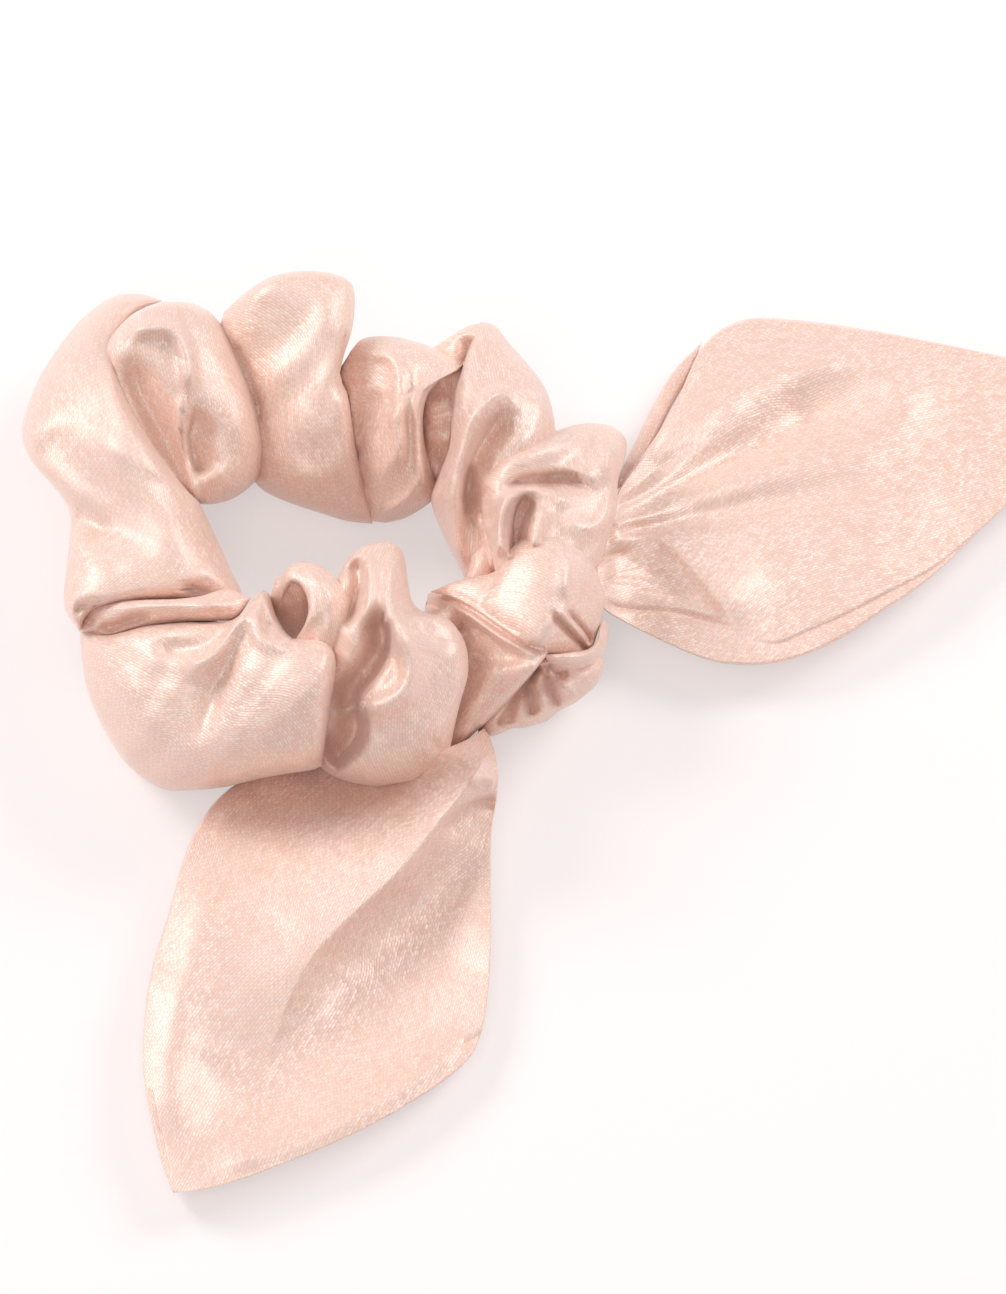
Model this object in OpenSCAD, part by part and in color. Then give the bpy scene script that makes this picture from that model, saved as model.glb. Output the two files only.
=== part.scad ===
// A knotted satin scrunchie, lying on a flat surface.
// A gathered satin tube covers a loop of elastic. A satin tie goes once round the
// tube, is knotted outside it, and ends in two wide, pointed tails.
// Frame: +Z up, the surface at z = 0, the hair opening's centre at x = y = 0,
// and the knot on +X.

/* [Elastic] */
// Length of the relaxed elastic, round its loop
elastic_length = 185; // [172:1:224]
// Height of the elastic strip
elastic_w = 6; // [4:0.5:8]
// Thickness of the elastic strip
elastic_t = 1; // [0.8:0.1:1.4]
// How far the elastic's two ends lap
elastic_lap = 14; // [8:1:20]
// Number of bar tacks that sew the lap
tack_count = 3; // [2:1:4]

/* [Cover] */
// Radius of the gathered tube over its fullest puffs
puff_r = 19; // [15.5:0.5:20]
// Radius of the tube where the tie pinches it
neck_r = 6.6; // [5.8:0.1:8]
// Number of puffs between the two sides of the tie
gathers = 11; // [7:1:13]
// Depth of the creases between puffs, as a share of the puff
gather_depth = 0.34; // [0.15:0.01:0.45]
// How far each crease leans along the ring, in puffs
gather_lean = 0.3; // [0:0.05:0.5]
// How far the puffs settle into a flat underside
settle = 2; // [1:0.25:3]

/* [Satin] */
// Thickness of the satin, as a doubled and pressed layer
satin_t = 0.8; // [0.6:0.1:1]
// Clearance between soft pieces
soft_gap = 0.3; // [0.2:0.05:0.4]

/* [Tie] */
// Width of the tie where it goes round the tube
loop_w = 16; // [12:1:20]
// Thickness of the tie's gathered turn round the tube
loop_t = 2.4; // [1.8:0.1:3]
// Number of pleats across the loop and across the knot's turn
pleats = 5; // [3:1:6]
// Outer radius of the knot's turn
knot_r = 7.5; // [6.8:0.1:9]
// Width of the knot's turn
knot_w = 15; // [11:1:20]
// Radius of the strands that run through the knot's turn
core_r = 4.6; // [4:0.1:5]
// Distance between the two mouths of the knot, where the tails leave it
mouth_span = 31; // [27:0.5:40]
// Radius of each tail's gathered root
root_r = 5; // [4.2:0.1:5.4]

/* [Tails] */
// Length of each tail from its root to its tip
tail_length = 112; // [90:1:140]
// Height of the air between a tail's two panels
tail_loft = 5; // [2:0.5:7]
// Height of the folds that fan out from the knot
fold_h = 2; // [0:0.25:3]
// Direction of the right tail, from +X
right_turn = 63; // [58:1:66]
// Direction of the left tail, from +X
left_turn = -90; // [-94:1:-84]
// Ring-side shoulder of the right tail: how far along and how far out
right_inner = [54, 37]; // [30:1:60]
// Outer shoulder of the right tail
right_outer = [30, 26]; // [20:1:60]
// Ring-side shoulder of the left tail
left_inner = [41, 36]; // [30:1:60]
// Outer shoulder of the left tail
left_outer = [54, 30]; // [20:1:60]
// How late the right tail's ring-side edge flares out
right_flare = 1.2; // [1:0.1:2]
// How late the left tail's ring-side edge flares out, so that it passes under the puffs
left_flare = 2.2; // [2:0.1:3]

/* [Hidden] */

satin_pink = [0.91, 0.72, 0.65];
elastic_white = [0.93, 0.91, 0.88];
thread_pink = [0.85, 0.63, 0.57];
round_fn = 96;

// Where things lie
elastic_r = elastic_length / (2 * PI);
tube_rise = puff_r - settle;            // height of the tube's centreline
tube_outset = 5.5;                      // from the elastic out to the tube's centreline
ring_r = elastic_r + tube_outset;
neck_half = loop_w / 2 + 2 * soft_gap;  // half the straight stretch under the loop
// The elastic's corners bear on the inside of the neck.
neck_x = sqrt(pow(elastic_r, 2) - pow(neck_half, 2))
       + sqrt(pow(neck_r - satin_t - soft_gap, 2) - pow(elastic_w / 2, 2));
neck_angle = atan2(neck_half, neck_x);
full_angle = 45;                        // from the neck to the first full puff
neck_lead = 5;                          // from the neck to the first turned section

loop_in = neck_r + soft_gap;
loop_out = loop_in + loop_t;
knot_z = knot_r + 1;
// The knot's turn lies against the outside of the loop.
knot_x = neck_x + sqrt(pow(loop_out + knot_r + soft_gap, 2) - pow(tube_rise - knot_z, 2));
core_half = mouth_span / 2 - root_r / 2;

// ---- Shared functions ----

function ease(x) = let (k = min(1, max(0, x))) k * k * (3 - 2 * k);

// Triangles between two neighbouring rows of a grid of points, each row m long
function strip(i, k, m, wrap) =
    [for (j = [0 : m - (wrap ? 1 : 2)]) let (n = (j + 1) % m)
        each [[i * m + j, i * m + n, k * m + n], [i * m + j, k * m + n, k * m + j]]];

// ---- Cover: a gathered tube, swept round the ring ----

ring_steps = 88;
side_steps = 20;

// Share of the full puff at this angle from the knot: none in the neck, all past full_angle
function fullness(a) = ease((min(a, 360 - a) - neck_angle) / (full_angle - neck_angle));

// 1 on a puff's crown and 0 in the crease beside it
function crown(a, b) =
    let (puff = gathers * (a - neck_angle) / (360 - 2 * neck_angle),
         shifted = puff + gather_lean * sin(b + 2 * a))
    pow(abs(sin(180 * shifted)), 0.7);

// Creases are deepest on the inside of the ring, where the same cloth has less room.
function crease_depth(b) = gather_depth * (1 - 0.35 * cos(b));

function puff_size(a) = puff_r * (0.97 + 0.03 * sin(2 * a + 40) + 0.03 * sin(5 * a));

function tube_radius(a, b) =
    neck_r + (puff_size(a) - neck_r) * fullness(a) * (1 - crease_depth(b) * (1 - crown(a, b)));

// One closed section of the tube: centre c, turned to face phi, taken in by inset
function section(c, phi, a, inset) =
    [for (j = [0 : side_steps - 1])
        let (b = 360 * j / side_steps, r = tube_radius(a, b) - inset,
             out = r * cos(b))
        [c[0] + out * cos(phi), c[1] + out * sin(phi), max(inset, tube_rise + r * sin(b))]];

function neck_sections(inset) =
    [for (y = [-neck_half, 0, neck_half]) each section([neck_x, y], 0, 0, inset)];

function ring_sections(inset) =
    let (first = neck_angle + neck_lead, step = (360 - 2 * first) / ring_steps)
    [for (k = [0 : ring_steps])
        let (a = first + k * step, r = neck_x + (ring_r - neck_x) * fullness(a))
        each section([r * cos(a), r * sin(a)], a, a, inset)];

module tube(inset) {
    points = concat(neck_sections(inset), ring_sections(inset));
    rows = len(points) / side_steps;
    polyhedron(points,
        [for (i = [0 : rows - 1]) each strip(i, (i + 1) % rows, side_steps, true)],
        convexity = 10);
}

module cover() {
    color(satin_pink)
        difference() {
            tube(0);
            tube(satin_t);
        }
}

// ---- Elastic: one strip, lapped and sewn into a loop ----

lap_angle = 360 * elastic_lap / elastic_length;
lap_middle = 180;    // the lap lies opposite the knot
tack_w = 1;
tack_h = elastic_w * 0.75;
tack_proud = 0.4;
tack_gap = 0.05;

module strip_arc(inner, angle) {
    rotate_extrude(angle = angle, $fn = round_fn)
        translate([inner, -elastic_w / 2]) square([elastic_t, elastic_w]);
}

// A tack goes through both layers of the lap
module tacks(grow) {
    pitch = elastic_lap / (tack_count + 1);
    depth = 2 * elastic_t + 2 * tack_proud;
    for (k = [1 : tack_count])
        rotate(lap_middle + (k * pitch - elastic_lap / 2) * 360 / elastic_length)
            translate([elastic_r - tack_proud, -tack_w / 2 - grow, -tack_h / 2 - grow])
                cube([depth, tack_w + 2 * grow, tack_h + 2 * grow]);
}

module elastic_band() {
    color(elastic_white) translate([0, 0, tube_rise])
        difference() {
            union() {
                strip_arc(elastic_r, 360);
                rotate(lap_middle - lap_angle / 2) strip_arc(elastic_r + elastic_t, lap_angle);
            }
            tacks(tack_gap);
        }
}

module elastic_tacks() {
    color(thread_pink) translate([0, 0, tube_rise]) tacks(0);
}

// ---- Tie: a pleated loop, the knot's turn, and the strands inside it ----

// Half section of a pleated strap that goes round a bore: a flat inside, rounded pleats outside
module pleated_profile(inner, outer, width) {
    pitch = width / pleats;
    crown_r = pitch * 0.58;
    body = outer - crown_r;
    intersection() {
        union() {
            translate([inner, -width / 2]) square([body - inner + crown_r * 0.4, width]);
            for (k = [0 : pleats - 1])
                translate([body, -width / 2 + (k + 0.5) * pitch]) circle(crown_r, $fn = 48);
        }
        translate([inner, -width / 2]) square([outer - inner, width]);
    }
}

// A pleated strap wound round an axis along Y
module pleated_turn(inner, outer, width) {
    rotate([90, 0, 0]) rotate_extrude($fn = round_fn) pleated_profile(inner, outer, width);
}

module tie_loop() {
    color(satin_pink) translate([neck_x, 0, tube_rise]) pleated_turn(loop_in, loop_out, loop_w);
}

module knot_turn() {
    color(satin_pink) translate([knot_x, 0, knot_z])
        pleated_turn(core_r + soft_gap, knot_r, knot_w);
}

module knot_core() {
    color(satin_pink) translate([knot_x, 0, knot_z]) difference() {
        rotate([90, 0, 0]) cylinder(h = 2 * core_half, r = core_r, center = true, $fn = round_fn);
        for (side = [-1, 1])
            translate([0, side * mouth_span / 2, 0]) sphere(root_r + soft_gap, $fn = round_fn);
    }
}

// ---- Tails: a gathered root in the knot's mouth, and two panels sewn at the rim ----

// A tail: the side of the knot it leaves, its direction, its two shoulders and its flare.
// The ring lies to the left of the right tail and to the right of the left one.
right_tail = [1, right_turn, right_inner, right_outer, right_flare];
left_tail = [-1, left_turn, left_inner, left_outer, left_flare];

long_steps = 26;
wide_steps = 14;
root_half = 5.5;       // half the panels' width at the root
tip_half = 0.6;        // half the panels' width at the tip
outer_flare = 0.8;     // the outer edge runs almost straight from the root
root_start = root_r + soft_gap;
drop_length = 30;      // how far a tail goes before it lies on the surface

// Half width at x along the tail: out from the root to a round shoulder, then in to the tip
function half_width(x, shoulder, flare) =
    x < shoulder[0]
    ? root_half + (shoulder[1] - root_half) * pow(ease(x / shoulder[0]), flare)
    : tip_half + (shoulder[1] - tip_half)
        * (1 - pow((x - shoulder[0]) / (tail_length - shoulder[0]), 1.45));

function side_width(tail, x, inner) =
    inner ? half_width(x, tail[2], tail[4]) : half_width(x, tail[3], outer_flare);

// Height of the lower panel's underside
function tail_floor(x) = (knot_z - satin_t) * (1 - ease(x / drop_length));

// Air between the panels, with folds that fan out from the knot and fade
function tail_air(x, t) =
    let (rim = 1 - t * t, far = x / tail_length)
    rim * (tail_loft * ease(0.2 + x / 25) * sqrt(1 - far * 0.96)
        + fold_h * cos(600 * t) * exp(-3 * far));

// One panel's skin: t runs from -1 to 1 across, and level 0 is the lower panel
function panel_points(tail, level, top) =
    [for (i = [0 : long_steps]) let (x = root_start + (tail_length - root_start) * i / long_steps)
        for (j = [0 : wide_steps]) let (
            t = 2 * j / wide_steps - 1,
            out = t * side_width(tail, x, t * tail[0] > 0),
            air = level * (satin_t + 0.1 + tail_air(x, t)))
        [x, out, tail_floor(x) + air + (top ? satin_t : 0)]];

module panel(tail, level) {
    m = wide_steps + 1;
    n = long_steps + 1;
    count = m * n;
    upper = [for (i = [0 : n - 2]) each strip(i, i + 1, m, false)];
    lower = [for (i = [0 : n - 2]) each strip(i + 1, i, m, false)];
    edge = concat([for (j = [0 : m - 1]) j],
                  [for (i = [1 : n - 1]) i * m + m - 1],
                  [for (j = [m - 2 : -1 : 0]) (n - 1) * m + j],
                  [for (i = [n - 2 : -1 : 1]) i * m]);
    rim = [for (k = [0 : len(edge) - 1]) let (p = edge[k], q = edge[(k + 1) % len(edge)])
        each [[p, q, q + count], [p, q + count, p + count]]];
    polyhedron(
        concat(panel_points(tail, level, false), panel_points(tail, level, true)),
        concat([for (f = lower) f], [for (f = upper) f + [count, count, count]], rim),
        convexity = 6);
}

module place_tail(tail) {
    translate([knot_x, tail[0] * mouth_span / 2, 0]) rotate(tail[1]) children();
}

module tail_root(tail) {
    color(satin_pink) place_tail(tail) translate([0, 0, knot_z]) sphere(root_r, $fn = round_fn);
}

module tail_panel(tail, level) {
    color(satin_pink) place_tail(tail) panel(tail, level);
}

cover();
elastic_band();
elastic_tacks();
tie_loop();
knot_turn();
knot_core();
tail_root(right_tail);  // tail_right_root
tail_panel(right_tail, 1);  // tail_right_upper
tail_panel(right_tail, 0);  // tail_right_lower
tail_root(left_tail);  // tail_left_root
tail_panel(left_tail, 1);  // tail_left_upper
tail_panel(left_tail, 0);  // tail_left_lower
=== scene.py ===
"""Knotted satin scrunchie: every visible piece of cloth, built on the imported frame.

Lengths are millimetres in the row's own frame, and become metres when a mesh is made.
"""

from __future__ import annotations

import logging
import math
from dataclasses import dataclass
from typing import Any, Sequence

import bpy
import numpy as np
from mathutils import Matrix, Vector


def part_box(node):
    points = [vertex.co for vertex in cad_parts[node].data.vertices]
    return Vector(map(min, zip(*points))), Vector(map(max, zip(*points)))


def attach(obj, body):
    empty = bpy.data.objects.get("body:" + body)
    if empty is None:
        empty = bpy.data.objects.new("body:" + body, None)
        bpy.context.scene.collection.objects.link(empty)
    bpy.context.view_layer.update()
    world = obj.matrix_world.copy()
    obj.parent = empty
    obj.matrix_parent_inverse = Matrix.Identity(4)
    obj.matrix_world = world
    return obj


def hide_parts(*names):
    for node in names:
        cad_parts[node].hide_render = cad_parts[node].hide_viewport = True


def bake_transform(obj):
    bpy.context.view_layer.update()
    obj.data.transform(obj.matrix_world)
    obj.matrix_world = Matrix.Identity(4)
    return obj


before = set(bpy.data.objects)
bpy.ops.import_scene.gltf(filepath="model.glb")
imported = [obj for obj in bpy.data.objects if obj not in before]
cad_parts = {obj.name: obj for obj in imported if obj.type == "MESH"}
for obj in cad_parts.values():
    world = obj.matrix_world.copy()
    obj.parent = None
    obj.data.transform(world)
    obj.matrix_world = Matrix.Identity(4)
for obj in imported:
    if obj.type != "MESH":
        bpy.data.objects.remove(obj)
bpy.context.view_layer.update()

MM = 0.001
log = logging.getLogger("scrunchie")

# How many points stand for one stretch of a smooth curve, for a crease's path, for a fold's
# edge, and for a run of values along a fold.
STRETCH_STEPS, CREASE_STEPS, EDGE_STEPS, RUN_STEPS = 24, 36, 240, 200

# A place in mm, or a pixel with a height: the numbers of one drawn point.
Place = tuple[float, ...]
Colour = tuple[float, ...]


# ---- Numbers and curves -------------------------------------------------------------


def ease(x: np.ndarray) -> np.ndarray:
    """Smooth step: 0 below 0, 1 above 1, and 3x² - 2x³ between."""
    k = np.clip(x, 0.0, 1.0)
    return k * k * (3.0 - 2.0 * k)


def unit(v: np.ndarray) -> np.ndarray:
    """Each row of v, at length 1."""
    return v / np.maximum(np.linalg.norm(v, axis=-1, keepdims=True), 1e-9)


def smooth_curve(points: np.ndarray, count: int) -> np.ndarray:
    """A smooth curve through every point, at even steps of its length.

    Each stretch is the Catmull-Rom cubic of its two ends and their neighbours.

    Args:
        points: the points that the curve goes through, one a row.
        count: how many points the result has.

    Returns:
        The curve's points, one a row, with as many columns as the input.
    """
    p = np.asarray(points, float)
    padded = np.vstack([2 * p[0] - p[1], p, 2 * p[-1] - p[-2]])
    t = np.linspace(0.0, 1.0, STRETCH_STEPS, endpoint=False)[None, :, None]
    a, b, c, d = (padded[k : len(padded) - 3 + k, None, :] for k in range(4))
    line = 0.5 * (
        2 * b + (c - a) * t + (2 * a - 5 * b + 4 * c - d) * t**2
        + (3 * b - a - 3 * c + d) * t**3
    )
    line = np.vstack([line.reshape(-1, p.shape[1]), p[-1:]])
    run = np.concatenate([[0.0], np.cumsum(np.linalg.norm(np.diff(line[:, :3], axis=0), axis=1))])
    even = np.linspace(0.0, run[-1], count)
    return np.stack([np.interp(even, run, line[:, k]) for k in range(p.shape[1])], axis=1)


# ---- The view ------------------------------------------------------------------------


@dataclass(frozen=True)
class Viewpoint:
    """The camera, and how a pixel of its picture maps to a place."""

    azimuth: float = 30.0
    elevation: float = 52.0
    distance: float = 1500.0
    mm_per_px: float = 0.182
    origin_px: tuple[float, float] = (325.0, 596.0)
    picture_px: tuple[float, float] = (1006.0, 1294.0)
    sensor_mm: float = 36.0
    clip_m: tuple[float, float] = (0.01, 20.0)

    def axes(self) -> tuple[np.ndarray, np.ndarray, np.ndarray]:
        """The camera's right, up and backward directions in the row's frame.

        Returns:
            Three directions of length 1.
        """
        a, e = math.radians(self.azimuth), math.radians(self.elevation)
        right = np.array([math.cos(a), math.sin(a), 0.0])
        back = np.array([math.sin(a) * math.cos(e), -math.cos(a) * math.cos(e), math.sin(e)])
        return right, np.cross(back, right), back

    def eye(self) -> np.ndarray:
        """The camera's place: the row's origin then shows at origin_px.

        Returns:
            A point in mm.
        """
        right, up, back = self.axes()
        dx = (self.picture_px[0] / 2 - self.origin_px[0]) * self.mm_per_px
        dy = (self.picture_px[1] / 2 - self.origin_px[1]) * self.mm_per_px
        return right * dx - up * dy + back * self.distance

    def rays(self, px: np.ndarray) -> np.ndarray:
        """The directions, not at unit length, in which the pixels px look.

        Args:
            px: one pixel a row, x then y from the picture's top left corner.

        Returns:
            One direction a row.
        """
        right, up, back = self.axes()
        off = (np.asarray(px, float) - np.array(self.picture_px) / 2) * self.mm_per_px
        return off[:, :1] * right - off[:, 1:2] * up - back * self.distance

    def at(self, px: np.ndarray, z: np.ndarray | float) -> np.ndarray:
        """The points at height z that show at the pixels px.

        Args:
            px: one pixel a row, x then y from the picture's top left corner.
            z: the height of each point.

        Returns:
            One point a row.
        """
        ray, eye = self.rays(px), self.eye()
        t = (np.broadcast_to(z, len(ray)) - eye[2]) / ray[:, 2]
        return eye + ray * t[:, None]

    def beside(self, px: np.ndarray, point: np.ndarray, along: np.ndarray) -> np.ndarray:
        """The point of each pixel's ray that is nearest to a straight line.

        Args:
            px: one pixel a row.
            point: a point of the line.
            along: the line's direction, of length 1.

        Returns:
            One point a row.
        """
        ray, eye = unit(self.rays(px)), self.eye()
        gap = eye - point
        slant = ray @ along
        t = (slant * (along @ gap) - ray @ gap) / (1.0 - slant**2)
        return eye + ray * t[:, None]

    def towards(self, points: np.ndarray) -> np.ndarray:
        """The direction from each point to the camera."""
        return unit(self.eye() - points)

    def place(self) -> bpy.types.Object:
        """Makes the scene's camera.

        Returns:
            The camera, linked to the scene.
        """
        data = bpy.data.cameras.new("camera")
        data.sensor_width = self.sensor_mm
        data.lens = self.sensor_mm * self.distance / self.mm_per_px / self.picture_px[1]
        data.clip_start, data.clip_end = self.clip_m
        camera = bpy.data.objects.new("camera", data)
        bpy.context.collection.objects.link(camera)
        camera.location = Vector(self.eye() * MM)
        camera.rotation_mode = "QUATERNION"
        camera.rotation_quaternion = Vector(-self.axes()[2]).to_track_quat("-Z", "Y")
        bpy.context.scene.camera = camera
        return camera


VIEW = Viewpoint()


# ---- Cloth shapes ----------------------------------------------------------------------


@dataclass
class Shape:
    """A mesh in the making: points in mm, faces, and a cloth coordinate for each corner."""

    points: np.ndarray
    faces: list[tuple[int, ...]]
    weave: np.ndarray

    @staticmethod
    def closed(grid: np.ndarray, weave: np.ndarray) -> "Shape":
        """A closed form from rings of points that shrink to a point at both ends.

        Row 0 and the last row are poles, and each row between is a closed ring. Every face is
        the four corners of one cell, or three at a pole, and all of them face outwards.

        Args:
            grid: points, rows by columns by 3, with no column repeated.
            weave: cloth coordinates, rows by one more column than grid, by 2.

        Returns:
            The shape.
        """
        rows, cols = grid.shape[:2]
        index = np.zeros((rows, cols + 1), int)
        index[1:-1, :cols] = 1 + np.arange((rows - 2) * cols).reshape(rows - 2, cols)
        index[1:-1, cols] = index[1:-1, 0]
        index[-1] = 1 + (rows - 2) * cols
        points = np.vstack([grid[0, :1], grid[1:-1].reshape(-1, 3), grid[-1, :1]])
        cell = [(0, 0), (0, 1), (1, 1), (1, 0)]
        corners = np.stack([index[a : a + rows - 1, b : b + cols] for a, b in cell], -1)
        cloth = np.stack([weave[a : a + rows - 1, b : b + cols] for a, b in cell], -2)
        first, middle, last = corners[0], corners[1:-1].reshape(-1, 4), corners[-1]
        parts = [
            (first[:, [0, 2, 3]], cloth[0][:, [0, 2, 3]]),
            (middle, cloth[1:-1].reshape(-1, 4, 2)),
            (last[:, [0, 1, 2]], cloth[-1][:, [0, 1, 2]]),
        ]
        a, b, c = (points[middle[:, k]] for k in range(3))
        if np.einsum("ij,ij->i", a, np.cross(b - a, c - a)).sum() < 0:
            parts = [(f[:, ::-1], w[:, ::-1]) for f, w in parts]
        faces = [tuple(row) for f, _ in parts for row in f.tolist()]
        return Shape(points, faces, np.vstack([w.reshape(-1, 2) for _, w in parts]))

    @staticmethod
    def together(shapes: Sequence["Shape"]) -> "Shape":
        """One shape with the faces of all of them.

        Args:
            shapes: the shapes to join.

        Returns:
            The joined shape.
        """
        start = np.cumsum([0] + [len(s.points) for s in shapes])
        faces = [tuple(k + n for k in f) for s, n in zip(shapes, start) for f in s.faces]
        return Shape(
            np.vstack([s.points for s in shapes]), faces, np.vstack([s.weave for s in shapes])
        )

    def piece(self, name: str, material: bpy.types.Material) -> bpy.types.Object:
        """Makes the object, in metres, with a UV map in mm of cloth.

        Args:
            name: the piece's name.
            material: its finish.

        Returns:
            The object, linked to the scene.
        """
        mesh = bpy.data.meshes.new(name)
        mesh.from_pydata((self.points * MM).tolist(), [], self.faces)
        layer = mesh.uv_layers.new(name="cloth")
        layer.data.foreach_set("uv", self.weave.astype(np.float32).ravel())
        mesh.polygons.foreach_set("use_smooth", [True] * len(mesh.polygons))
        mesh.materials.append(material)
        mesh.update()
        mesh.validate()
        obj = bpy.data.objects.new(name, mesh)
        bpy.context.collection.objects.link(obj)
        return obj


def cloth_lengths(grid: np.ndarray, middle: int) -> np.ndarray:
    """Cloth coordinates of a grid of rings, in mm measured along the surface.

    The first is the length round the ring from column middle, the second the length along the
    column from the middle row.

    Args:
        grid: points, rows by columns by 3, with no column repeated.
        middle: the column where the first coordinate is 0.

    Returns:
        Coordinates, rows by one more column than grid, by 2.
    """
    wide = np.concatenate([grid, grid[:, :1]], axis=1)
    across = np.cumsum(np.linalg.norm(np.diff(wide, axis=1), axis=-1), axis=1)
    across = np.concatenate([np.zeros((len(grid), 1)), across], axis=1)
    down = np.cumsum(np.linalg.norm(np.diff(wide, axis=0), axis=-1), axis=0)
    down = np.concatenate([np.zeros((1, wide.shape[1])), down], axis=0)
    across -= across[:, middle : middle + 1]
    down -= down[len(grid) // 2][None]
    return np.stack([across, down], axis=-1)


@dataclass(frozen=True)
class Crease:
    """A ridge, or with a height below 0 a furrow, drawn across a fold.

    Its height over the fold is height * exp(-(d / w)^p), where d is the distance in pixels from
    the path, w is left or right, by the side, and p is power: 1 is a sharp crease, 2 a soft
    roll, and 3 or more a flat one with steep walls. The width grows along the path by the
    factor grow. It fades out over a share of the path at each end, or ends round at a share 0.
    """

    path: tuple[Place, ...]
    height: float
    left: float
    right: float
    fade: tuple[float, float] = (0.25, 0.25)
    power: float = 2.0
    grow: float = 1.0

    def relief(self, px: np.ndarray) -> np.ndarray:
        """The crease's height in mm at each pixel of px.

        Args:
            px: one pixel a row.

        Returns:
            One height for each pixel.
        """
        line = smooth_curve(np.array(self.path, float), CREASE_STEPS)
        start, step = line[:-1], np.diff(line, axis=0)
        to = px[:, None, :] - start[None]
        along = np.clip((to * step).sum(-1) / (step**2).sum(-1), 0.0, 1.0)
        gap = np.linalg.norm(to - along[..., None] * step, axis=-1)
        near = gap.argmin(axis=1)
        row = np.arange(len(px))
        side = step[near, 0] * to[row, near, 1] - step[near, 1] * to[row, near, 0]
        share = (near + along[row, near]) / len(step)
        width = np.where(side > 0, self.right, self.left) * (1.0 + (self.grow - 1.0) * share)
        fade = 1.0
        for rest, run in zip((share, 1.0 - share), self.fade):
            fade = fade * (ease(rest / run) if run else 1.0)
        return self.height * np.exp(-((gap[row, near] / width) ** self.power)) * fade


@dataclass(frozen=True)
class Drape:
    """A broad soft relief over a fold, through chosen heights.

    It is the thin-plate spline through them: a plane and a sum of r² log r over the places,
    with a little slack so that it stays smooth. Places are divided by unit_px first.
    """

    heights: tuple[Place, ...]
    slack: float = 0.02
    unit_px: float = 100.0

    def relief(self, px: np.ndarray) -> np.ndarray:
        """The height in mm at each pixel of px.

        Args:
            px: one pixel a row.

        Returns:
            One height for each pixel.
        """
        known = np.array(self.heights, float)
        place, height = known[:, :2] / self.unit_px, known[:, 2]
        count = len(place)

        def bend(a: np.ndarray) -> np.ndarray:
            """r² log r from each point of a to each known place."""
            r2 = ((a[:, None] - place[None]) ** 2).sum(-1)
            return 0.5 * r2 * np.log(np.maximum(r2, 1e-9))

        plane = np.column_stack([np.ones(count), place])
        full = np.zeros((count + 3, count + 3))
        full[:count, :count] = bend(place) + self.slack * np.eye(count)
        full[:count, count:], full[count:, :count] = plane, plane.T
        weights = np.linalg.solve(full, np.concatenate([height, np.zeros(3)]))
        at = px / self.unit_px
        flat = np.column_stack([np.ones(len(at)), at])
        return bend(at) @ weights[:count] + flat @ weights[count:]


@dataclass(frozen=True)
class Seat:
    """Where a fold's edges lie: at heights over the floor, or beside the ring's centre line.

    With an angle, an edge point is the point of its pixel's ray nearest to the ring's tangent
    there, moved towards the camera by the third number. Without one, that number is its height.
    """

    angle: float | None = None
    radius: float = 34.5
    height: float = 17.5

    def place(self, edge: np.ndarray) -> np.ndarray:
        """The points of an edge given as pixel x, pixel y and lift or height.

        Args:
            edge: pixel x, pixel y, and the lift or the height, one point a row.

        Returns:
            The points in mm, one a row.
        """
        if self.angle is None:
            return VIEW.at(edge[:, :2], edge[:, 2])
        a = math.radians(self.angle)
        point = np.array([self.radius * math.cos(a), self.radius * math.sin(a), self.height])
        spot = VIEW.beside(edge[:, :2], point, np.array([-math.sin(a), math.cos(a), 0.0]))
        return spot + VIEW.towards(spot) * edge[:, 2:3]


def spread(values: Sequence[float], s: np.ndarray) -> np.ndarray:
    """A smooth curve through values at even steps of 0 to 1, read at s.

    The steps are stretched far beyond the values, so that the curve's even steps are even in s.

    Args:
        values: the values, in order, or a single one that holds everywhere.
        s: where to read the curve, from 0 to 1.

    Returns:
        One value for each entry of s.
    """
    if len(values) == 1:
        return np.full(len(s), float(values[0]))
    reach = 1000.0
    steps = np.linspace(0.0, 1.0, len(values)) * reach
    line = smooth_curve(np.stack([steps, np.array(values, float)], axis=1), RUN_STEPS)
    return np.interp(s, line[:, 0] / reach, line[:, 1])


FLOOR_GAP, FLOOR_SOFTNESS = 0.15, 0.7


def rest_on_floor(points: np.ndarray) -> np.ndarray:
    """Points with what is below the floor pressed flat just over it.

    The height becomes the mean of z + g and the root of (z - g)² + c², so it never drops
    under the gap g and hardly changes well above it.

    Args:
        points: points of any grid, the last axis x, y and z.

    Returns:
        The points at their new heights.
    """
    out = points.copy()
    z = out[..., 2]
    out[..., 2] = 0.5 * (z + FLOOR_GAP + np.sqrt((z - FLOOR_GAP) ** 2 + FLOOR_SOFTNESS**2))
    return out


def bow(x: np.ndarray, power: float) -> np.ndarray:
    """The superellipse's height over x from 0 to 1: the n-th root of 1 - |2x - 1|^n."""
    return np.maximum(1 - np.abs(2 * x - 1) ** power, 0.0) ** (1 / power)


END_ROWS, CARVED_FROM = 0.45, 0.55

# The shortest and the longest wave of the crinkles in pixels, and how many there are.
CRINKLE_PX = (26.0, 90.0, 12)
CRINKLE_SEED = 100

# Each set of pleats as waves across a fold's back and share of the height, then the rolls'
# power, mean and height in mm, and how far chance turns them and makes them drift.
PLEATS = ((1.4, 0.9), (2.3, 0.7), (3.1, 0.5))
PLEAT_ROLL = (0.8, 0.7, 2.6)
PLEAT_PHASE, PLEAT_DRIFT = 6.28, 1.6


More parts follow.
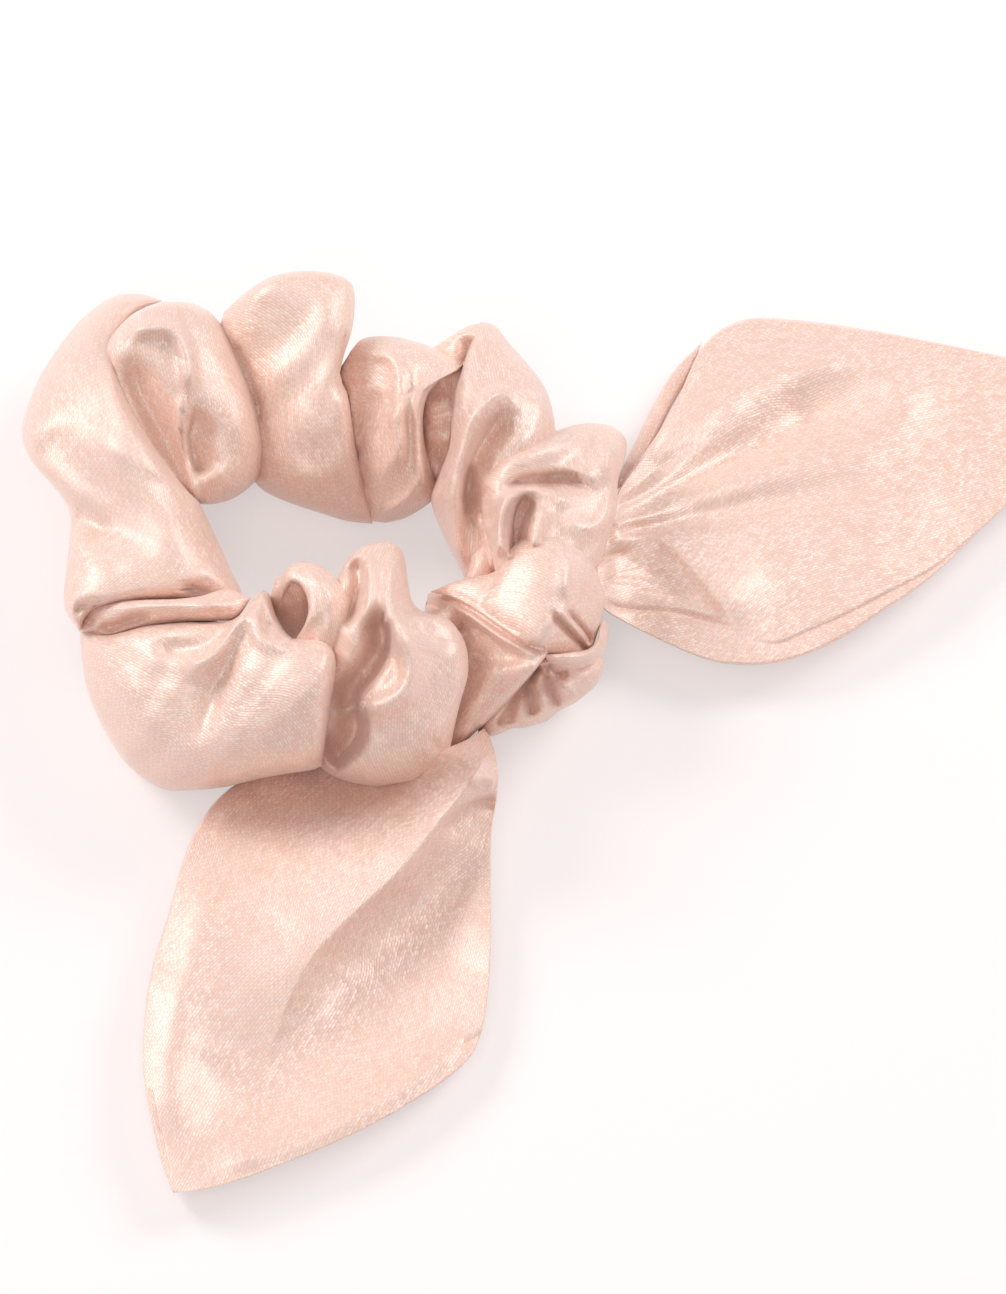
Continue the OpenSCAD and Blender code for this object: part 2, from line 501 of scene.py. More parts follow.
@dataclass(frozen=True)
class Fold:
    """One fold of cloth: a closed form drawn by its two long edges as they are seen.

    Both edges run from the point start to the point end, and left and right are the points
    between, each a pixel and a height or a lift, by the seat. Across it, the form is the
    superellipse |x|^n + |h|^n = 1 between the edges, where n is square, and along it the same
    curve closes both ends, where n is ends. Its front stands crown mm towards the camera, and
    its back that many mm away. The grid has rows along the fold, and front and behind columns
    across its two sides. Its back has pleats of ripple mm, and its front crinkle mm of
    unevenness.
    """

    start: Place
    end: Place
    left: tuple[Place, ...]
    right: tuple[Place, ...]
    crown: tuple[float, ...]
    back: tuple[float, ...]
    seat: Seat = Seat()
    creases: tuple[Crease, ...] = ()
    drape: Drape | None = None
    square: float = 2.4
    ends: float = 2.6
    rows: int = 60
    front: int = 50
    behind: int = 14
    ripple: float = 0.8
    crinkle: float = 0.22
    seed: int = 0

    def edge(self, between: tuple[Place, ...], s: np.ndarray) -> np.ndarray:
        """The points of an edge at the shares s of its length.

        Args:
            between: the edge's drawn points without both ends.
            s: shares of its length, from 0 to 1.

        Returns:
            One drawn point for each entry of s.
        """
        line = smooth_curve(np.array((self.start, *between, self.end), float), EDGE_STEPS)
        run = np.linspace(0.0, 1.0, len(line))
        return np.stack([np.interp(s, run, line[:, k]) for k in range(3)], axis=1)

    def carving(self, px: np.ndarray) -> np.ndarray:
        """The relief of creases, drape and crinkles in mm at each pixel of px.

        Args:
            px: one pixel a row.

        Returns:
            One height for each pixel.
        """
        out = np.zeros(len(px))
        for crease in self.creases:
            out += crease.relief(px)
        if self.drape:
            out += self.drape.relief(px)
        return out + self.crinkles(px)

    def shape(self) -> Shape:
        """The fold's closed surface.

        Its rows crowd towards both ends by the share END_ROWS of a cosine, and what is carved
        in has its full depth where the form has risen by the share CARVED_FROM.

        Returns:
            The surface, with its cloth coordinates.
        """
        even = np.linspace(0.0, 1.0, self.rows)
        s = (1 - END_ROWS) * even + END_ROWS * (1 - np.cos(np.pi * even)) / 2
        edges = [self.edge(between, s) for between in (self.left, self.right)]
        turn = np.concatenate([
            np.linspace(0.0, np.pi, self.front, endpoint=False),
            np.linspace(np.pi, 2 * np.pi, self.behind, endpoint=False),
        ])
        x = (1 - np.cos(turn)) / 2
        rise = np.sign(np.sin(turn)) * bow(x, self.square)
        closing = bow(s, self.ends)
        low, high = (self.seat.place(edge) for edge in edges)
        flat = low[:, None] + (high - low)[:, None] * x[None, :, None]
        px = edges[0][:, None, :2] + (edges[1] - edges[0])[:, None, :2] * x[None, :, None]
        depth = np.where(rise > 0, spread(self.crown, s)[:, None], spread(self.back, s)[:, None])
        lift = depth * rise[None] * closing[:, None]
        body = np.abs(rise)[None] * closing[:, None]
        carved = self.carving(px.reshape(-1, 2)).reshape(lift.shape) * ease(body / CARVED_FROM)
        lift = lift + np.where(rise > 0, carved, self.gather(s, x) * body)
        toward = VIEW.towards(flat.reshape(-1, 3)).reshape(flat.shape)
        grid = rest_on_floor(flat + toward * lift[..., None])
        return Shape.closed(grid, cloth_lengths(grid, self.front // 2))

    def crinkles(self, px: np.ndarray) -> np.ndarray:
        """Faint unevenness in mm: sine waves in all directions, the longer the higher.

        Args:
            px: one pixel a row.

        Returns:
            One height for each pixel.
        """
        short, longest, waves = CRINKLE_PX
        rng = np.random.default_rng(CRINKLE_SEED + self.seed)
        out = np.zeros(len(px))
        for length in np.geomspace(short, longest, waves):
            angle, phase = rng.uniform(0, np.pi), rng.uniform(0, 2 * np.pi)
            run = px @ np.array([math.cos(angle), math.sin(angle)])
            out += np.sin(2 * np.pi * run / length + phase) * (length / longest)
        return out * self.crinkle * 0.5

    def gather(self, s: np.ndarray, x: np.ndarray) -> np.ndarray:
        """Pleats along the fold's back: rolls |sin|^p across it that drift with s.

        Args:
            s: shares of the fold's length.
            x: shares of its width.

        Returns:
            Heights in mm, one row for each entry of s and one column for each of x.
        """
        power, mean, height = PLEAT_ROLL
        rng = np.random.default_rng(self.seed)
        out = np.zeros((len(s), len(x)))
        for waves, share in PLEATS:
            phase, drift = rng.uniform(0, PLEAT_PHASE), rng.uniform(-PLEAT_DRIFT, PLEAT_DRIFT)
            turn = waves * np.pi * x[None] + drift * s[:, None] * 3 + phase
            out += (np.abs(np.sin(turn)) ** power - mean) * share
        return out * self.ripple * height


# ---- Finishes ------------------------------------------------------------------------


class Value:
    """A number socket of a node tree; sums and products on it add Math nodes."""

    def __init__(self, recipe: "Recipe", socket: bpy.types.NodeSocket) -> None:
        """Wraps an output socket."""
        self.recipe, self.socket = recipe, socket

    def _with(self, operation: str, first: Any, second: Any = 0.0) -> "Value":
        """The Math node's result for two inputs."""
        node = self.recipe.node("ShaderNodeMath", {"operation": operation}, {0: first, 1: second})
        return Value(self.recipe, node.outputs[0])

    def __add__(self, other: Any) -> "Value":
        """self + other."""
        return self._with("ADD", self, other)

    def __sub__(self, other: Any) -> "Value":
        """self - other."""
        return self._with("SUBTRACT", self, other)

    def __rsub__(self, other: Any) -> "Value":
        """other - self."""
        return self._with("SUBTRACT", other, self)

    def __mul__(self, other: Any) -> "Value":
        """self * other."""
        return self._with("MULTIPLY", self, other)

    def __truediv__(self, other: Any) -> "Value":
        """self / other."""
        return self._with("DIVIDE", self, other)

    def __mod__(self, other: Any) -> "Value":
        """self modulo other, never below 0."""
        return self._with("FLOORED_MODULO", self, other)

    def __abs__(self) -> "Value":
        """The size of self."""
        return self._with("ABSOLUTE", self)

    def whole(self) -> "Value":
        """self rounded down."""
        return self._with("FLOOR", self)

    def clamp(self) -> "Value":
        """self kept between 0 and 1."""
        node = self.recipe.node("ShaderNodeClamp", {}, {"Value": self})
        return Value(self.recipe, node.outputs[0])

    __radd__ = __add__
    __rmul__ = __mul__


class Recipe:
    """A material's node tree."""

    def __init__(self, name: str, **constants: Any) -> None:
        """Makes the material.

        Args:
            name: the material's name.
            constants: the shader's sockets that are the same all over, by name, with a space
                written as an underscore.
        """
        self.material = bpy.data.materials.new(name)
        self.material.use_nodes = True
        self.tree = self.material.node_tree
        self.shader = self.tree.nodes["Principled BSDF"]
        for key, value in constants.items():
            self.shader.inputs[key.replace("_", " ")].default_value = value

    def node(self, kind: str, settings: dict[str, Any], inputs: dict[Any, Any]) -> bpy.types.Node:
        """Adds a node.

        Args:
            kind: the node's type.
            settings: its properties, set first.
            inputs: values or links for its sockets, by name or number.

        Returns:
            The node.
        """
        node = self.tree.nodes.new(kind)
        for key, value in settings.items():
            setattr(node, key, value)
        for key, value in inputs.items():
            self.feed(node.inputs[key], value)
        return node

    def feed(self, socket: bpy.types.NodeSocket, value: Any) -> None:
        """Links a socket to a Value or an output, or sets it to a constant.

        Args:
            socket: the input.
            value: a Value, an output socket, or a plain number or colour.
        """
        if isinstance(value, Value):
            value = value.socket
        if isinstance(value, bpy.types.NodeSocket):
            self.tree.links.new(value, socket)
        else:
            socket.default_value = value

    def set(self, name: str, value: Any) -> None:
        """Feeds one of the shader's own sockets."""
        self.feed(self.shader.inputs[name], value)

    def bump(self, strength: float, depth_m: float, height: Value, **more: Any) -> None:
        """Raises the surface by height through the shader's normal.

        Args:
            strength: the share of the bump that shows.
            depth_m: how far a height of 1 stands out, in metres.
            height: what is raised.
            more: further sockets of the Bump node, by name.
        """
        inputs = {"Strength": strength, "Distance": depth_m, "Height": height, **more}
        self.set("Normal", self.node("ShaderNodeBump", {}, inputs).outputs[0])

    def spot(self) -> bpy.types.NodeSocket:
        """The place on the object."""
        return self.node("ShaderNodeTexCoord", {}, {}).outputs["Object"]

    def cloth(self) -> tuple[Value, Value]:
        """The two cloth coordinates, in mm.

        Returns:
            The length across the threads' rows, and the length along them.
        """
        uv = self.node("ShaderNodeUVMap", {"uv_map": "cloth"}, {})
        split = self.node("ShaderNodeSeparateXYZ", {}, {0: uv.outputs[0]})
        return Value(self, split.outputs[0]), Value(self, split.outputs[1])

    def noise(self, scale: float, detail: float, where: Any, stretch: float = 1.0) -> Value:
        """Smooth noise from 0 to 1; stretch scales the first coordinate.

        Args:
            scale: how fine it is.
            detail: how many octaves it has.
            where: the coordinates that it reads.
            stretch: what the first coordinate is multiplied by.

        Returns:
            The noise.
        """
        place = self.node("ShaderNodeMapping", {}, {"Vector": where, "Scale": (stretch, 1, 1)})
        node = self.node(
            "ShaderNodeTexNoise", {}, {"Vector": place.outputs[0], "Scale": scale, "Detail": detail}
        )
        return Value(self, node.outputs[0])

    def blend(self, share: Any, first: Any, second: Any) -> bpy.types.NodeSocket:
        """The colour that is first at share 0 and second at share 1."""
        mix = self.node("ShaderNodeMix", {"data_type": "RGBA"}, {0: share, 6: first, 7: second})
        return mix.outputs[2]


@dataclass(frozen=True)
class Satin:
    """Blush satin: rows of staggered floats that catch the light one by one, by their own tilt
    and by a painted glint.

    The tone is a sum of shares of thread, chance, cloud and slub, less tone_drop. It runs from
    deep to body, the weave's own tone, and on to a near-white colour past the glint threshold:
    that part is a painted glint on the float centres. Roughness grows by chance and falls
    on a thread, and thread, slub and streak raise the surface.
    """

    name: str = "blush_satin"
    float_mm: float = 1.1
    row_mm: float = 0.52
    deep: Colour = (0.845, 0.525, 0.42, 1)
    body: Colour = (0.93, 0.72, 0.622, 1)
    # The near-white colour of the painted glint on the brightest floats.
    painted_glint_colour: Colour = (1.0, 0.93, 0.88, 1)
    sheen_tint: Colour = (1.0, 0.95, 0.93, 1)
    metallic: float = 0.15
    roughness: float = 0.43
    glitter: float = 0.26
    stagger: tuple[float, float] = (0.5, 0.12)
    cloud_scale: float = 0.06
    slub_scale: float = 0.9
    streak_scale: float = 0.3
    tone_shares: tuple[float, ...] = (0.45, 0.25, 0.1, 0.1)
    tone_drop: float = 0.02
    painted_glint_gain: float = 1.6
    painted_glint_from: float = 0.75
    rough_shares: tuple[float, float] = (0.12, 0.05)
    raise_shares: tuple[float, ...] = (0.7, 0.4, 1.2)
    relief: tuple[float, float] = (0.45, 0.00012)

    def make(self) -> bpy.types.Material:
        """Builds the material.

        Returns:
            The material.
        """
        r = Recipe(self.name, Metallic=self.metallic, Sheen_Weight=0.3, Sheen_Roughness=0.4,
                   Sheen_Tint=self.sheen_tint, Coat_Weight=0.5, Coat_Roughness=0.36, Coat_IOR=1.65)
        u, v = r.cloth()
        row = (u / self.row_mm).whole()
        half, third = self.stagger
        shift = (row % 2.0) * half + (row % 3.0) * third
        step = v / self.float_mm + shift
        cell = r.node("ShaderNodeCombineXYZ", {}, {0: row, 1: step.whole()})
        chance = r.node("ShaderNodeTexWhiteNoise", {"noise_dimensions": "3D"}, {0: cell.outputs[0]})
        luck = Value(r, chance.outputs["Value"])
        across = abs((u / self.row_mm) % 1.0 - 0.5) * 2.0
        along = abs(step % 1.0 - 0.5) * 2.0
        thread = (1.0 - across * across) * (1.0 - along * along * along * along)
        uv = r.node("ShaderNodeUVMap", {"uv_map": "cloth"}, {}).outputs[0]
        cloud = r.noise(self.cloud_scale, 2.0, uv)
        slub = r.noise(self.slub_scale, 2.0, uv, 3.0)
        streak = r.noise(self.streak_scale, 2.0, uv, 5.0)
        a, b, c, d = self.tone_shares
        tone = (thread * a + luck * b + cloud * c + slub * d - self.tone_drop).clamp()
        low = r.blend(tone, self.deep, self.body)
        # Painted glint: where the weave's tone is highest, on the float centres, the base colour turns
        # near-white like a glint of light, though the cloth is dyed one colour.
        painted_glint = (tone * self.painted_glint_gain - self.painted_glint_from).clamp()
        r.set("Base Color", r.blend(painted_glint, low, self.painted_glint_colour))
        rougher, smoother = self.rough_shares
        r.set("Roughness", self.roughness + luck * rougher - thread * smoother)
        geometry = r.node("ShaderNodeNewGeometry", {}, {})
        tilt = r.node(
            "ShaderNodeVectorMath", {"operation": "MULTIPLY_ADD"},
            {0: chance.outputs["Color"], 1: (self.glitter,) * 3, 2: (-self.glitter / 2,) * 3},
        )
        leaning = r.node(
            "ShaderNodeVectorMath", {"operation": "ADD"},
            {0: geometry.outputs["Normal"], 1: tilt.outputs[0]},
        )
        normal = r.node("ShaderNodeVectorMath", {"operation": "NORMALIZE"}, {0: leaning.outputs[0]})
        a, b, c = self.raise_shares
        height = thread * a + slub * b + streak * c
        r.bump(*self.relief, height, Normal=normal.outputs[0])
        return r.material


@dataclass(frozen=True)
class Knit:
    """Braided elastic: fine ribs along it, crossed by its wrapping thread."""

    name: str = "knit_elastic"
    light: Colour = (0.86, 0.82, 0.78, 1)
    dark: Colour = (0.62, 0.57, 0.53, 1)
    rib_scale: float = 900.0
    fuzz_scale: float = 1500.0
    relief: tuple[float, float] = (0.5, 0.0002)

    def make(self) -> bpy.types.Material:
        """Builds the material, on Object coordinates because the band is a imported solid.

        Returns:
            The material.
        """
        r = Recipe(self.name, Roughness=0.85, Sheen_Weight=0.2)
        spot = r.spot()
        ribs = r.node(
            "ShaderNodeTexWave", {"bands_direction": "Z"}, {"Vector": spot, "Scale": self.rib_scale}
        )
        rib = Value(r, ribs.outputs["Fac"])
        fuzz = r.noise(self.fuzz_scale, 2.0, spot)
        r.set("Base Color", r.blend((rib * 0.7 + fuzz * 0.4).clamp(), self.dark, self.light))
        r.bump(*self.relief, rib + fuzz * 0.5)
        return r.material


@dataclass(frozen=True)
class Thread:
    """Spun sewing thread, twisted from two plies."""

    name: str = "sewing_thread"
    light: Colour = (0.93, 0.74, 0.66, 1)
    dark: Colour = (0.74, 0.49, 0.41, 1)
    twist_scale: float = 1500.0
    relief: tuple[float, float] = (0.4, 0.0001)

    def make(self) -> bpy.types.Material:
        """Builds the material, on Object coordinates.

        Returns:
            The material.
        """
        r = Recipe(self.name, Roughness=0.6, Sheen_Weight=0.3)
        spot = r.spot()
        twist = r.node(
            "ShaderNodeTexWave", {"bands_direction": "DIAGONAL"},
            {"Vector": spot, "Scale": self.twist_scale},
        )
        ply = Value(r, twist.outputs["Fac"])
        r.set("Base Color", r.blend(ply, self.dark, self.light))
        r.bump(*self.relief, ply)
        return r.material


# ---- The ring's cover ------------------------------------------------------------------


@dataclass
class Cover:
    """The gathered cover: a sewn satin tube bunched into deep folds on a short elastic."""

    satin: bpy.types.Material
    cut_mm: tuple[float, float] = (100.0, 450.0)
    cloth_mm: float = 0.25
    elastic_mm: float = 1.0
    core_mm: tuple[float, float] = (2.6, 4.2)
    core_grid: tuple[int, int] = (110, 12)

    def folds(self) -> list[Fold]:
        """The folds, anticlockwise from the knot seen from above.

        Returns:
            All of them.
        """
        return [
            self.front_right(), self.back_right(), self.behind_right(), self.back(), self.pocket(),
            self.block(), self.round_one(), self.far_left(), self.roll(), self.near_left(),
            self.arch(), self.inner_wall(), self.near_right(),
        ]

    def far_left(self) -> Fold:
        """The big fold at the far left, with a broad slanting sweep over it."""
        return Fold(
            seat=Seat(207.0), seed=1, rows=56, front=48, start=(163, 301, 2), end=(80, 632, 0),
            crown=(10, 15, 16, 15, 12), back=(12, 17, 18, 17, 12),
            left=(
                (140, 294, 1), (110, 298, 0), (78, 323, 0), (46, 366, 0), (28, 405, 0), (22, 435, 0),
                (32, 462, 0), (54, 487, 0), (70, 512, 0), (70, 535, 0), (67, 565, 0), (64, 592, 0),
                (66, 612, 0),
            ),
            right=(
                (137, 312, 3), (120, 335, 5), (116, 365, 8), (125, 395, 10), (140, 425, 11),
                (160, 455, 10), (184, 487, 7), (199, 502, 4), (209, 522, 2), (222, 550, 1),
                (233, 575, 1), (243, 598, 1), (215, 601, 2), (185, 600, 3), (140, 602, 3), (104, 606, 2),
                (86, 616, 1),
            ),
            creases=(
                Crease(((35, 432), (62, 464), (92, 492), (116, 530), (132, 570)),
                       -2.8, 24, 24, (0.15, 0.3)),
                Crease(((96, 410), (118, 450), (150, 492), (180, 530), (206, 566)), 3.0, 20, 26),
                Crease(((70, 512), (88, 520), (110, 540)), -2.4, 10, 12),
                Crease(((187, 587), (195, 590), (208, 592)), -4.6, 4, 5, (0.1, 0.5)),
                Crease(((184, 581), (194, 577), (209, 578), (228, 586)), 1.8, 4, 3, (0.2, 0.3)),
                Crease(((120, 330), (110, 360), (116, 400), (138, 440), (172, 485)), 1.6, 6, 12),
                Crease(((72, 612), (84, 606), (100, 604)), -2.5, 4, 6),
                Crease(((60, 360), (90, 330), (118, 312)), 1.2, 20, 16),
            ),
        )

    def round_one(self) -> Fold:
        """The round fold beside it, with a deep dimple."""
        return Fold(
            seat=Seat(166.0), seed=2, rows=50, front=50, start=(163, 302, 2), end=(200, 504, 0),
            crown=(11, 14, 15, 14, 11), back=(14, 18, 18, 17, 12),
            left=(
                (130, 316, 2), (104, 350, -1), (104, 392, -3), (120, 428, -3), (145, 464, -1),
                (172, 492, 0),
            ),
            right=(
                (190, 303, 1), (211, 313, 1), (228, 336, 2), (242, 368, 3), (256, 404, 3), (264, 440, 3),
                (264, 463, 2), (254, 483, 1), (234, 498, 0), (214, 504, 0),
            ),
            creases=(
                Crease(((124, 348), (138, 385), (156, 422), (176, 458), (194, 494)), -5.5, 17, 12),
                Crease(((124, 336), (148, 328), (172, 330), (185, 350), (188, 376), (184, 398)),
                       3.2, 8, 8, (0.15, 0.2)),
                Crease(((192, 386), (184, 406), (181, 430), (185, 456), (192, 480), (199, 502)),
                       1.8, 3, 7, (0.2, 0.1)),
                Crease(((204, 404), (194, 418), (190, 438), (194, 460), (202, 480)),
                       -4.6, 24, 4, (0.3, 0.15), power=1.9),
                Crease(((200, 330), (228, 370), (246, 420), (246, 460)), 1.2, 14, 14),
            ),
        )

    def block(self) -> Fold:
        """The smooth upright fold at the far side."""
        return Fold(
            seat=Seat(128.0), seed=3, rows=44, front=40, square=3.0, ends=3.0, start=(224, 312, -5),
            end=(372, 524, 0), crown=(9, 12, 13, 12, 9), back=(14, 18, 18, 16, 12),
            left=(
                (216, 345, -6), (224, 385, -6), (234, 425, -5), (242, 460, -4), (260, 488, -2),
                (290, 503, 0), (320, 513, 0), (346, 521, 0),
            ),
            right=(
                (246, 292, -3), (270, 277, 0), (300, 271, 0), (330, 273, 0), (350, 281, 0),
                (355, 300, 1), (352, 330, 4), (344, 355, 6), (340, 377, 7), (347, 392, 8), (352, 420, 8),
                (357, 450, 7), (365, 485, 5), (373, 510, 2),
            ),
            creases=(
                Crease(((322, 278), (326, 318), (308, 348), (284, 374), (264, 408)), 2.2, 16, 16),
                Crease(((340, 400), (318, 440), (300, 476)), -0.9, 24, 24),
                Crease(((230, 338), (246, 368), (256, 400), (261, 428)), -2.4, 4, 6, (0.2, 0.2)),
                Crease(((348, 336), (342, 356), (337, 372)), -2.0, 3, 5, (0.2, 0.2)),
            ),
        )

    def back(self) -> Fold:
        """The low puckered fold at the back."""
        return Fold(
            seat=Seat(100.0), seed=4, rows=54, front=50, start=(350, 352, -1), end=(385, 523, 0),
            crown=(7, 11, 12, 11, 8), back=(12, 15, 16, 15, 12),
            left=((336, 380, -1), (338, 420, -1), (343, 460, -2), (352, 495, -3), (366, 518, -2)),
            right=(
                (362, 339, 0), (385, 336, 0), (410, 340, 1), (434, 348, 2), (450, 357, 4), (464, 366, 6),
                (450, 374, 8), (436, 384, 9), (427, 397, 10), (423, 418, 10), (425, 445, 10),
                (431, 470, 9), (438, 492, 6), (427, 505, 3), (405, 518, 0),
            ),
            creases=(
                Crease(((354, 372), (366, 357), (384, 353), (397, 364), (400, 390), (397, 420),
                        (399, 442), (393, 462), (378, 474), (364, 470)), 2.0, 8, 8, (0.15, 0.2)),
                Crease(((374, 385), (372, 415), (376, 445)), -1.6, 14, 12),
                Crease(((411, 352), (413, 385), (411, 420), (412, 455), (404, 484)),
                       -2.0, 9, 8, (0.3, 0.3)),
                Crease(((442, 370), (428, 384), (421, 404), (419, 432), (421, 460), (422, 480),
                        (408, 498), (388, 510), (370, 506)), 2.6, 5, 6, (0.1, 0.15)),
                Crease(((350, 384), (352, 418), (356, 448)), 1.0, 3, 3, (0.2, 0.1)),
                Crease(((350, 452), (362, 456)), -2.0, 3, 3, (0.0, 0.4)),
                Crease(((362, 484), (370, 500), (384, 508)), 1.4, 6, 6),
            ),
        )

    def pocket(self) -> Fold:
        """The sheet of cloth deep between two folds."""
        return Fold(
            seat=Seat(92.0), seed=5, rows=30, front=28, behind=8, start=(428, 372, 2), end=(440, 498, 0),
            crown=(6, 8, 6), back=(10, 12, 10),
            left=((416, 400, 3), (416, 440, 3), (424, 475, 2)),
            right=((455, 362, 3), (474, 390, 3), (472, 440, 3), (458, 480, 2)),
            creases=(
                Crease(((426, 414), (438, 406), (452, 401)), 2.4, 3, 5, (0.1, 0.1)),
                Crease(((426, 437), (438, 434), (452, 438)), 2.6, 8, 8, (0.1, 0.1)),
                Crease(((430, 392), (452, 386)), -2.2, 8, 8, (0.1, 0.1)),
                Crease(((428, 456), (446, 466)), -1.6, 6, 6),
            ),
        )

    def behind_right(self) -> Fold:
        """The tip of a fold that shows behind the slanting one."""
        return Fold(
            seat=Seat(84.0), seed=6, rows=26, front=22, behind=10, start=(428, 350, 0),
            end=(470, 400, 2), crown=(4, 5, 4), back=(10, 12, 10),
            left=((440, 365, 1), (455, 385, 2)),
            right=((448, 338, 1), (470, 325, 1), (492, 326, 0), (500, 350, -2), (490, 385, -2)),
            creases=(Crease(((470, 335), (468, 352), (462, 368)), -3.0, 7, 7),),
        )

    def back_right(self) -> Fold:
        """The tall slanting fold, with a long furrow that curls at its top."""
        return Fold(
            seat=Seat(66.0), seed=7, rows=70, front=64, start=(480, 322, 3), end=(485, 602, 0),
            crown=(9, 12, 13, 12, 11), back=(13, 17, 17, 16, 12),
            left=(
                (472, 340, 6), (464, 362, 8), (455, 388, 10), (452, 415, 11), (449, 448, 10),
                (438, 476, 8), (431, 498, 6), (436, 518, 3), (447, 543, 1), (457, 562, 0), (468, 584, 0),
            ),
            right=(
                (494, 325, 1), (509, 343, 0), (527, 363, 0), (544, 386, 0), (552, 408, 0),
                (556, 432, -2), (560, 460, -3), (556, 500, -3), (540, 545, -2), (515, 585, -1),
            ),
            creases=(
                Crease(((480, 334), (470, 362), (462, 400), (457, 440)), 1.4, 9, 8, (0.15, 0.3)),
                Crease(((520, 392), (500, 392), (484, 403), (471, 422), (462, 446), (456, 472),
                        (454, 505), (458, 545), (466, 575)), 3.8, 8, 9, (0.12, 0.12)),
                Crease(((524, 412), (508, 412), (496, 422), (485, 438), (476, 455), (470, 474),
                        (468, 496), (472, 520)), -5.5, 14, 6, (0.3, 0.2)),
                Crease(((472, 462), (468, 484), (468, 506), (474, 530)), -3.4, 7, 4, (0.3, 0.2)),
                Crease(((530, 388), (543, 410), (534, 434), (506, 452)), 1.6, 12, 10),
                Crease(((464, 513), (475, 517), (484, 528), (489, 548), (492, 575)),
                       2.2, 6, 4, (0.15, 0.2)),
                Crease(((488, 332), (502, 356), (516, 380)), 0.8, 10, 10),
            ),
        )

    def front_right(self) -> Fold:
        """The fold next to the knot, rolled over a dark hollow."""
        return Fold(
            seat=Seat(32.0), seed=8, rows=76, front=74, square=2.6, start=(474, 460, 7),
            end=(565, 590, 0), crown=(8, 11, 12, 11, 9), back=(12, 16, 17, 15, 12),
            left=(
                (474, 475, 8), (479, 492, 8), (480, 510, 7), (486, 535, 6), (493, 562, 5), (502, 590, 2),
                (530, 600, 0),
            ),
            right=(
                (500, 455, 8), (530, 443, 8), (556, 431, 6), (580, 424, 3), (602, 424, 0), (618, 430, 0),
                (627, 443, 0), (624, 462, -1), (618, 480, -1), (617, 508, -1), (611, 530, -2),
                (597, 565, -2),
            ),
            creases=(
                Crease(((484, 470), (520, 456), (560, 442), (598, 434)), 2.0, 12, 15),
                Crease(((500, 496), (510, 485), (528, 479), (546, 477), (566, 476), (584, 483),
                        (600, 498)), -6.0, 3, 13, (0.35, 0.35), power=1.8),
                Crease(((499, 558), (499, 530), (503, 508), (512, 495), (528, 489), (545, 492),
                        (562, 499), (580, 506)), 4.6, 5, 6, (0.08, 0.45)),
                Crease(((531, 498), (521, 509), (516, 528), (515, 556)),
                       -9.0, 9, 5, (0.15, 0.1), power=2.6),
                Crease(((539, 503), (536, 525), (534, 550)), 2.8, 9, 5, (0.2, 0.1)),
                Crease(((556, 516), (575, 525), (594, 527), (607, 514), (612, 492)), 1.6, 8, 9),
                Crease(((603, 436), (607, 460), (610, 486), (607, 512)), 1.6, 6, 6),
                Crease(((488, 480), (486, 502), (492, 534)), -1.6, 6, 6),
            ),
        )

    def near_right(self) -> Fold:
        """The fold at the near right: a tall crest that curls round two hollows."""
        return Fold(
            seat=Seat(318.0), seed=9, rows=90, front=80, start=(386, 541, 0), end=(400, 782, 0),
            crown=(9, 13, 15, 15, 12), back=(13, 16, 16, 15, 12),
            left=(
                (366, 545, 0), (350, 556, 0), (340, 572, 1), (333, 592, 1), (322, 622, 0),
                (314, 660, -1), (310, 700, -1), (312, 735, -1), (318, 764, 0), (340, 779, 0),
                (374, 786, 0),
            ),
            right=(
                (399, 547, 0), (405, 560, 0), (408, 582, 1), (413, 603, 3), (427, 613, 4), (445, 617, 5),
                (459, 631, 6), (467, 650, 6), (468, 675, 6), (461, 700, 5), (455, 725, 4), (450, 748, 2),
                (440, 767, 0), (420, 779, 0),
            ),
            creases=(
                Crease(((392, 548), (390, 580), (388, 604), (394, 624), (404, 642), (410, 664),
                        (404, 688), (386, 702), (360, 708)), 4.6, 15, 8, (0.12, 0.1)),
                Crease(((384, 630), (382, 652), (368, 676), (348, 695), (330, 712)),
                       -11.0, 7, 15, (0.0, 0.3), power=2.3),
                Crease(((386, 644), (379, 662), (361, 683), (342, 698), (330, 708)),
                       3.0, 4, 5, (0.2, 0.15)),
                Crease(((366, 704), (348, 709), (330, 715)), 2.2, 5, 5, (0.2, 0.2)),
                Crease(((357, 720), (355, 737), (345, 751), (329, 767)),
                       -13.0, 7, 25, (0.0, 0.25), power=1.7),
                Crease(((354, 556), (359, 578), (355, 602), (342, 630)), -5.0, 5, 10, (0.15, 0.3)),
                Crease(((368, 552), (372, 580), (369, 606), (358, 630)), 2.0, 8, 5),
                Crease(((425, 628), (440, 632), (458, 650)), -1.2, 8, 8),
                Crease(((440, 622), (457, 645), (461, 680), (452, 720)), 1.1, 8, 8),
                Crease(((428, 738), (437, 746), (448, 756)), -0.9, 3, 4, (0.4, 0.2)),
                Crease(((322, 764), (340, 774)), -3.0, 8, 8, (0.0, 0.3)),
            ),
        )

